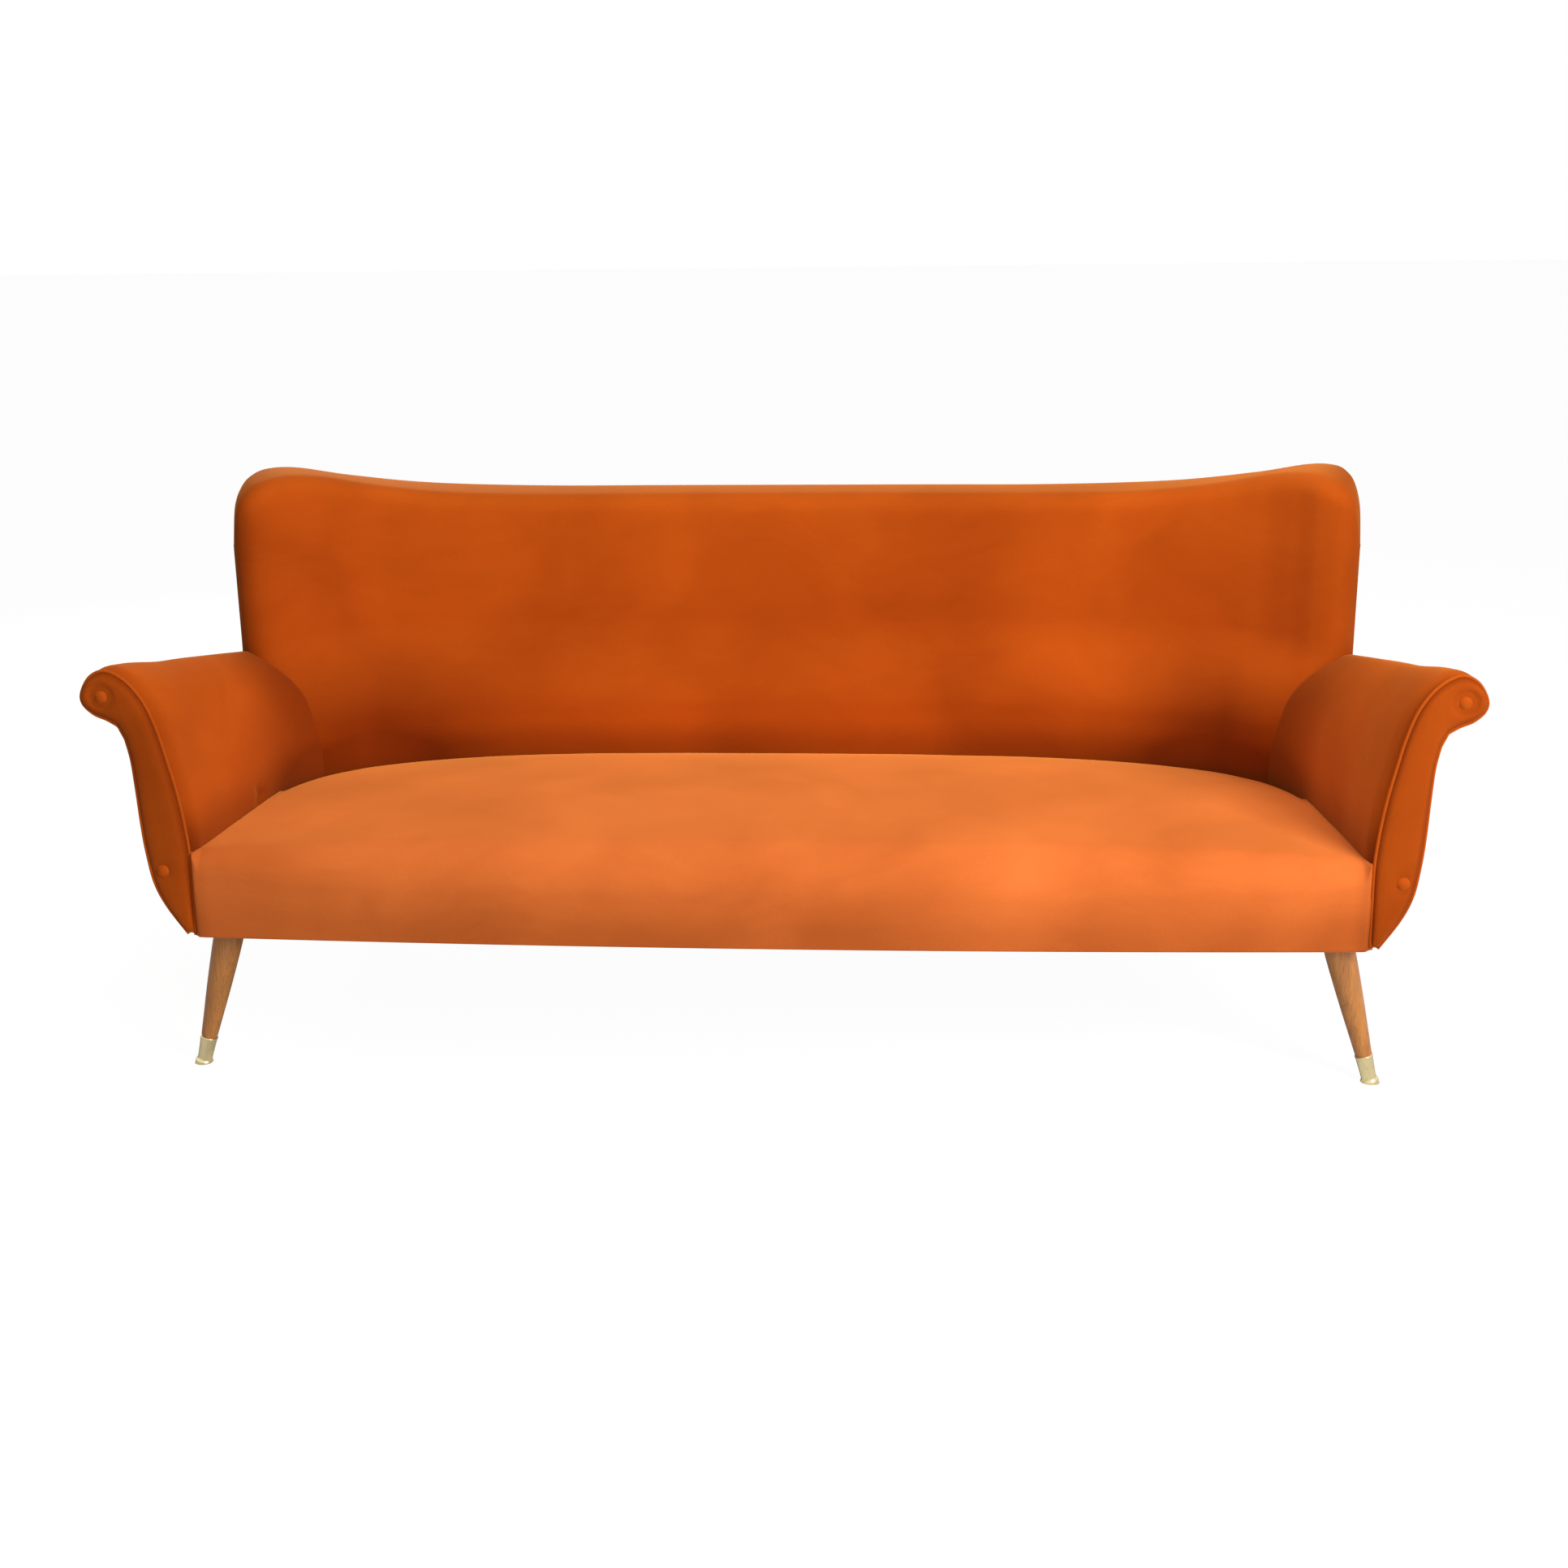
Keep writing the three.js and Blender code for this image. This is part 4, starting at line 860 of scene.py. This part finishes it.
# An empty node group with its named inputs (label, kind, value) and outputs (label, kind)
def startGroup(name, inputs, outputs):
    tree = bpy.data.node_groups.new(name, "ShaderNodeTree")
    kinds = {"colour": "NodeSocketColor", "value": "NodeSocketFloat", "vector": "NodeSocketVector"}
    for label, kind, value in inputs:
        socket = tree.interface.new_socket(name=label, in_out="INPUT", socket_type=kinds[kind])
        if value is not None:
            socket.default_value = value
    for label, kind in outputs:
        tree.interface.new_socket(name=label, in_out="OUTPUT", socket_type=kinds[kind])
    return tree, tree.nodes.new("NodeGroupInput").outputs, tree.nodes.new("NodeGroupOutput").inputs


# A colour ramp through stops of (place, shade)
def ramp(tree, value, stops):
    node = put(tree, "ValToRGB", Fac=value)
    elements = node.color_ramp.elements
    for k, (place, shade) in enumerate(stops):
        element = elements[k] if k < 2 else elements.new(place)
        element.position = place
        element.color = (*([shade] * 3 if np.isscalar(shade) else shade), 1)
    return node.outputs["Color"]


# first and second mixed by a factor
def mixed(tree, factor, first, second, mode="MIX"):
    node = put(tree, "Mix", {"data_type": "RGBA", "blend_type": mode})
    for socket, value in ((node.inputs[0], factor), (node.inputs[6], first), (node.inputs[7], second)):
        if isinstance(value, bpy.types.NodeSocket):
            tree.links.new(value, socket)
        else:
            socket.default_value = value
    return node.outputs[2]


# Velvet: slow brushed patches, finer streaks of nap and the grain of the pile itself
nap = {
    "warpScale": 3.0, "warp": 0.25, "patchScale": 3.6, "patchDetail": 2.5, "patchRoughness": 0.42,
    "streakScale": 17.0, "streakStretch": 2.6, "streakDetail": 3.0, "streakShare": 0.12,
    "patchFade": [(0.3, 0.0), (0.66, 1.0)], "dark": (0.62, 0.54, 0.46, 1), "light": (1.3, 1.42, 1.6, 1),
    "paintedShade": (0.42, 0.32, 0.25, 1), "pileScale": 420.0, "pileDetail": 3.0, "pileRoughness": 0.7,
    "speck": [(0.32, 0.86), (0.7, 1.08)], "pileBump": 0.0006, "patchBump": 0.004, "patchStrength": 0.18,
}


def napGroup():
    tree, given, gives = startGroup("velvetNap",
        [("Vector", "vector", None), ("Colour", "colour", (0.6, 0.14, 0.03, 1)),
         ("Patches", "value", 0.5), ("Pile", "value", 0.3)],
        [("Colour", "colour"), ("Normal", "vector")])
    warp = put(tree, "TexNoise", Vector=given["Vector"], Scale=nap["warpScale"], Detail=2.0)
    bent = put(tree, "VectorMath", {"operation": "MULTIPLY_ADD"}, _0=warp.outputs["Color"],
               _1=[nap["warp"]] * 3, _2=given["Vector"])
    large = put(tree, "TexNoise", Vector=bent.outputs[0], Scale=nap["patchScale"],
                Detail=nap["patchDetail"], Roughness=nap["patchRoughness"])
    streakMap = put(tree, "Mapping", Vector=bent.outputs[0], Scale=(1.0, 1.0, nap["streakStretch"]))
    streaks = put(tree, "TexNoise", Vector=streakMap.outputs[0], Scale=nap["streakScale"],
                  Detail=nap["streakDetail"], Roughness=0.5)
    fine = put(tree, "TexNoise", Vector=given["Vector"], Scale=nap["pileScale"],
               Detail=nap["pileDetail"], Roughness=nap["pileRoughness"])
    fromStreaks = put(tree, "Math", {"operation": "MULTIPLY"}, _0=streaks.outputs["Fac"],
                      _1=nap["streakShare"])
    patch = put(tree, "Math", {"operation": "MULTIPLY_ADD"}, _0=large.outputs["Fac"],
                _1=1 - nap["streakShare"], _2=fromStreaks.outputs[0])
    tone = ramp(tree, patch.outputs[0], nap["patchFade"])
    dark = mixed(tree, 1.0, given["Colour"], nap["dark"], "MULTIPLY")
    light = mixed(tree, 1.0, given["Colour"], nap["light"], "MULTIPLY")
    body = mixed(tree, given["Patches"], given["Colour"], mixed(tree, tone, dark, light))
    # Painted shade: the colour is multiplied down by the shade colour where the mesh's share of painted
    # shade is high
    paintedShade = put(tree, "Attribute", {"attribute_name": "paintedShade"}).outputs["Fac"]
    body = mixed(tree, paintedShade, body, mixed(tree, 1.0, body, nap["paintedShade"], "MULTIPLY"))
    speck = ramp(tree, fine.outputs["Fac"], nap["speck"])
    tree.links.new(mixed(tree, given["Pile"], body, mixed(tree, 1.0, body, speck, "MULTIPLY")),
                   gives["Colour"])
    bump = put(tree, "Bump", Height=fine.outputs["Fac"], Distance=nap["pileBump"],
               Strength=given["Pile"])
    soft = put(tree, "Bump", Height=patch.outputs[0], Distance=nap["patchBump"],
               Strength=nap["patchStrength"], Normal=bump.outputs[0])
    tree.links.new(soft.outputs[0], gives["Normal"])
    return tree


# Grain: bands pulled out along one axis, with pores and slow changes of tone
wood = {
    "bandScale": 75.0, "bandStretch": 0.09, "poreScale": 620.0, "poreStretch": 0.035,
    "slowScale": 7.0, "slowShare": 0.35, "bandFade": [(0.32, 0.0), (0.68, 1.0)],
    "poreFade": [(0.34, 0.0), (0.46, 1.0)], "poreShare": 0.28, "poreBump": 0.0002,
}


def grainGroup():
    tree, given, gives = startGroup("woodGrain",
        [("Vector", "vector", None), ("Dark", "colour", (0.2, 0.09, 0.03, 1)),
         ("Light", "colour", (0.5, 0.27, 0.1, 1)), ("Scale", "value", 1.0)],
        [("Colour", "colour"), ("Normal", "vector")])
    sized = put(tree, "VectorMath", {"operation": "SCALE"}, _0=given["Vector"])
    tree.links.new(given["Scale"], sized.inputs["Scale"])
    longMap = put(tree, "Mapping", Vector=sized.outputs[0], Scale=(1.0, 1.0, wood["bandStretch"]))
    bands = put(tree, "TexNoise", Vector=longMap.outputs[0], Scale=wood["bandScale"], Detail=6.0,
                Roughness=0.6, Distortion=0.6)
    poreMap = put(tree, "Mapping", Vector=sized.outputs[0], Scale=(1.0, 1.0, wood["poreStretch"]))
    pores = put(tree, "TexNoise", Vector=poreMap.outputs[0], Scale=wood["poreScale"], Detail=2.0)
    slow = put(tree, "TexNoise", Vector=sized.outputs[0], Scale=wood["slowScale"], Detail=2.0)
    tone = ramp(tree, bands.outputs["Fac"], wood["bandFade"])
    colour = mixed(tree, tone, given["Dark"], given["Light"])
    changing = mixed(tree, slow.outputs["Fac"], given["Dark"], given["Light"])
    colour = mixed(tree, wood["slowShare"], colour, changing)
    pit = ramp(tree, pores.outputs["Fac"], wood["poreFade"])
    colour = mixed(tree, wood["poreShare"], colour, mixed(tree, 1.0, colour, pit, "MULTIPLY"))
    tree.links.new(colour, gives["Colour"])
    bump = put(tree, "Bump", Height=pit, Distance=wood["poreBump"], Strength=0.15)
    tree.links.new(bump.outputs[0], gives["Normal"])
    return tree


# Weave: two crossed waves of thread at a pitch, with uneven yarn
def weaveGroup():
    tree, given, gives = startGroup("plainWeave",
        [("Vector", "vector", None), ("Colour", "colour", (0.3, 0.2, 0.1, 1)),
         ("Threads", "value", 400.0)],
        [("Colour", "colour"), ("Normal", "vector")])
    waves = []
    for axis in ("X", "Y"):
        wave = put(tree, "TexWave", {"bands_direction": axis}, Vector=given["Vector"],
                   Scale=given["Threads"], Distortion=0.6, Detail=1.0)
        waves.append(wave.outputs["Fac"])
    height = put(tree, "Math", {"operation": "MULTIPLY"}, _0=waves[0], _1=waves[1]).outputs[0]
    yarn = put(tree, "TexNoise", Vector=given["Vector"], Scale=90.0, Detail=4.0)
    shade = ramp(tree, height, [(0.0, 0.45), (0.6, 1.1)])
    colour = mixed(tree, 1.0, given["Colour"], shade, "MULTIPLY")
    uneven = ramp(tree, yarn.outputs["Fac"], [(0.3, 0.8), (0.7, 1.15)])
    tree.links.new(mixed(tree, 1.0, colour, uneven, "MULTIPLY"), gives["Colour"])
    bump = put(tree, "Bump", Height=height, Distance=0.0004, Strength=0.5)
    tree.links.new(bump.outputs[0], gives["Normal"])
    return tree


# Marks of use on metal: fine scratches across and dull patches
def wearGroup():
    tree, given, gives = startGroup("metalWear",
        [("Vector", "vector", None), ("Bright", "colour", (0.8, 0.7, 0.4, 1)),
         ("Dull", "colour", (0.5, 0.4, 0.2, 1)), ("Amount", "value", 0.4)],
        [("Colour", "colour"), ("Roughness", "value"), ("Normal", "vector")])
    cloud = put(tree, "TexNoise", Vector=given["Vector"], Scale=60.0, Detail=5.0, Roughness=0.65)
    ringMap = put(tree, "Mapping", Vector=given["Vector"], Scale=(1.0, 1.0, 14.0))
    scratch = put(tree, "TexNoise", Vector=ringMap.outputs[0], Scale=180.0, Detail=3.0)
    mask = ramp(tree, cloud.outputs["Fac"], [(0.42, 0.0), (0.72, 1.0)])
    share = put(tree, "Math", {"operation": "MULTIPLY"}, _0=mask, _1=given["Amount"]).outputs[0]
    tree.links.new(mixed(tree, share, given["Bright"], given["Dull"]), gives["Colour"])
    rough = put(tree, "Math", {"operation": "MULTIPLY_ADD"}, _0=share, _1=0.35, _2=0.2)
    tree.links.new(rough.outputs[0], gives["Roughness"])
    bump = put(tree, "Bump", Height=scratch.outputs["Fac"], Distance=0.0001, Strength=0.12)
    tree.links.new(bump.outputs[0], gives["Normal"])
    return tree


groups = {"nap": napGroup(), "grain": grainGroup(), "weave": weaveGroup(), "wear": wearGroup()}


# A material whose surface is one Principled node fed by a group on Object coordinates
def finish(name, groupName, inputs, fixed):
    material = bpy.data.materials.new(name)
    material.use_nodes = True
    tree = material.node_tree
    surface = tree.nodes["Principled BSDF"]
    effect = tree.nodes.new("ShaderNodeGroup")
    effect.node_tree = groups[groupName]
    tree.links.new(put(tree, "TexCoord").outputs["Object"], effect.inputs["Vector"])
    for key, value in inputs.items():
        effect.inputs[key].default_value = value
    for label, socket in (("Colour", "Base Color"), ("Normal", "Normal"), ("Roughness", "Roughness")):
        if label in effect.outputs:
            tree.links.new(effect.outputs[label], surface.inputs[socket])
    for key, value in fixed.items():
        surface.inputs[key].default_value = value
    return material


# The velvet in one of its two tones: the seat's copy is lighter, painted light for the light that falls
# on the seat's top
def velvetCut(name, colour, sheen):
    return finish(name, "nap", {"Colour": colour, "Patches": 0.5, "Pile": 0.3},
                  {"Roughness": 0.9, "Sheen Weight": sheen, "Sheen Roughness": 0.45,
                   "Sheen Tint": (1.0, 0.38, 0.08, 1), "Specular IOR Level": 0.05})


materials = {
    "velvet": velvetCut("velvet", (0.47, 0.074, 0.004, 1), 0.5),
    "velvetSeatPaintedLight": velvetCut("velvetSeatPaintedLight", (0.70, 0.154, 0.029, 1), 1.0),
    "leg_wood": finish("legWood", "grain", {"Dark": (0.3, 0.096, 0.017, 1),
                                            "Light": (0.6, 0.23, 0.035, 1)},
                       {"Roughness": 0.42, "Coat Weight": 0.2, "Coat Roughness": 0.3}),
    "frame_wood": finish("beech", "grain", {"Dark": (0.44, 0.27, 0.13, 1),
                                            "Light": (0.66, 0.46, 0.26, 1)}, {"Roughness": 0.7}),
    "brass": finish("brass", "wear", {"Bright": (0.83, 0.71, 0.40, 1), "Dull": (0.52, 0.40, 0.19, 1)},
                    {"Metallic": 1.0}),
    "steel": finish("steel", "wear", {"Bright": (0.56, 0.57, 0.59, 1), "Dull": (0.36, 0.36, 0.37, 1)},
                    {"Metallic": 1.0}),
    "lining": finish("lining", "weave", {"Colour": (0.035, 0.032, 0.03, 1)}, {"Roughness": 0.9}),
    "webbing": finish("webbing", "weave", {"Colour": (0.34, 0.23, 0.12, 1), "Threads": 180.0},
                      {"Roughness": 0.95}),
    "foam": finish("foam", "nap", {"Colour": (0.78, 0.68, 0.42, 1), "Patches": 0.3, "Pile": 0.8},
                   {"Roughness": 0.95}),
}
# The seat's cover takes the lighter copy of the velvet, painted light
paintedLightCopies = {"seatTop": "velvetSeatPaintedLight"}
slots = {entry["node"]: entry["material_slot"] for entry in frame["record"]["subparts"]}
for obj, slotName in pieces + [(obj, slots[name]) for name, obj in nodes.items()]:
    obj.data.materials.clear()
    obj.data.materials.append(materials[paintedLightCopies.get(obj.name, slotName)])
print("materials set")


# Studio, in metres: a white world and soft boxes, each as (place, aim, strength, width)
light = {
    "ambient": 0.2,
    "boxes": {"key": ((2.3, -2.6, 1.9), (0.4, 0, 0.45), 90, 1.3),
              "overhead": ((0.5, -0.9, 3.0), (0.2, 0, 0.4), 52, 2.2),
              "behind": ((-1.6, 3.2, 1.9), (0, 0.3, 0.45), 34, 2.0)},
    "floorGlow": 0.955, "floorAlbedo": 0.1, "floorReach": 40,
}


# The world is full white for the camera and in reflections, and dim as a light
def whiteWorld():
    world = bpy.data.worlds.new("studio")
    bpy.context.scene.world = world
    world.use_nodes = True
    tree = world.node_tree
    path = put(tree, "LightPath").outputs
    seen = put(tree, "Math", {"operation": "MAXIMUM"}, _0=path["Is Camera Ray"],
               _1=path["Is Glossy Ray"])
    seen = put(tree, "Math", {"operation": "MAXIMUM"}, _0=seen.outputs[0],
               _1=path["Is Transmission Ray"])
    level = put(tree, "MapRange", Value=seen.outputs[0], To_Min=light["ambient"], To_Max=1.0)
    background = tree.nodes["Background"]
    background.inputs["Color"].default_value = (1, 1, 1, 1)
    tree.links.new(level.outputs[0], background.inputs["Strength"])


# Each soft box looks from its place towards its aim
def softBoxes():
    for name, (place, aim, strength, width) in light["boxes"].items():
        lamp = bpy.data.lights.new(name, "AREA")
        lamp.energy, lamp.size = strength, width
        obj = bpy.data.objects.new(name, lamp)
        obj.rotation_mode = "QUATERNION"
        obj.rotation_quaternion = (Vector(place) - Vector(aim)).to_track_quat("Z", "Y")
        obj.location = place
        bpy.context.scene.collection.objects.link(obj)


# Floor: pale for the camera, with the object's shadow kept on it
def floor():
    material = bpy.data.materials.new("floor")
    material.use_nodes = True
    tree = material.node_tree
    tree.nodes.remove(tree.nodes["Principled BSDF"])
    end = tree.nodes["Material Output"]
    path = put(tree, "LightPath").outputs["Is Camera Ray"]
    matt = put(tree, "BsdfDiffuse", Color=(*[light["floorAlbedo"]] * 3, 1))
    glow = put(tree, "Emission", Color=(1, 1, 1, 1), Strength=light["floorGlow"])
    both = put(tree, "AddShader", _0=matt.outputs[0], _1=glow.outputs[0])
    plain = put(tree, "BsdfDiffuse", Color=(0.8, 0.8, 0.8, 1))
    shown = put(tree, "MixShader", _0=path, _1=plain.outputs[0], _2=both.outputs[0])
    tree.links.new(shown.outputs[0], end.inputs["Surface"])
    reach = light["floorReach"]
    mesh = bpy.data.meshes.new("floor")
    corners = [(-reach, -reach, 0), (reach, -reach, 0), (reach, reach, 0), (-reach, reach, 0)]
    mesh.from_pydata(corners, [], [(0, 1, 2, 3)])
    mesh.materials.append(material)
    obj = bpy.data.objects.new("floor", mesh)
    bpy.context.scene.collection.objects.link(obj)


# Camera at the photograph's place: turned by yaw, tipped down by pitch and rolled a little.
# The focal length is in the photograph's pixels.
eye = {"place": (0.221, -3.168, 1.30), "yaw": 4.05, "pitch": 16.23, "roll": 0.71,
       "focalPixels": 2460, "widthPixels": 1932, "sensor": 36, "clip": (0.1, 200)}


def camera():
    yaw, pitch, roll = (math.radians(eye[key]) for key in ("yaw", "pitch", "roll"))
    ahead = Vector((-math.sin(yaw) * math.cos(pitch), math.cos(yaw) * math.cos(pitch), -math.sin(pitch)))
    right = Vector((math.cos(yaw), math.sin(yaw), 0))
    down = ahead.cross(right)
    across = right * math.cos(roll) + down * math.sin(roll)
    below = -right * math.sin(roll) + down * math.cos(roll)
    lens = bpy.data.cameras.new("camera")
    lens.sensor_width = eye["sensor"]
    lens.lens = eye["sensor"] * eye["focalPixels"] / eye["widthPixels"]
    lens.clip_start, lens.clip_end = eye["clip"]
    obj = bpy.data.objects.new("camera", lens)
    turn = Matrix((across, -below, -ahead)).transposed()
    obj.matrix_world = Matrix.Translation(eye["place"]) @ turn.to_4x4()
    bpy.context.scene.collection.objects.link(obj)
    bpy.context.scene.camera = obj


whiteWorld()
softBoxes()
floor()
camera()
bpy.context.scene.view_settings.view_transform = "Standard"
print("studio set")
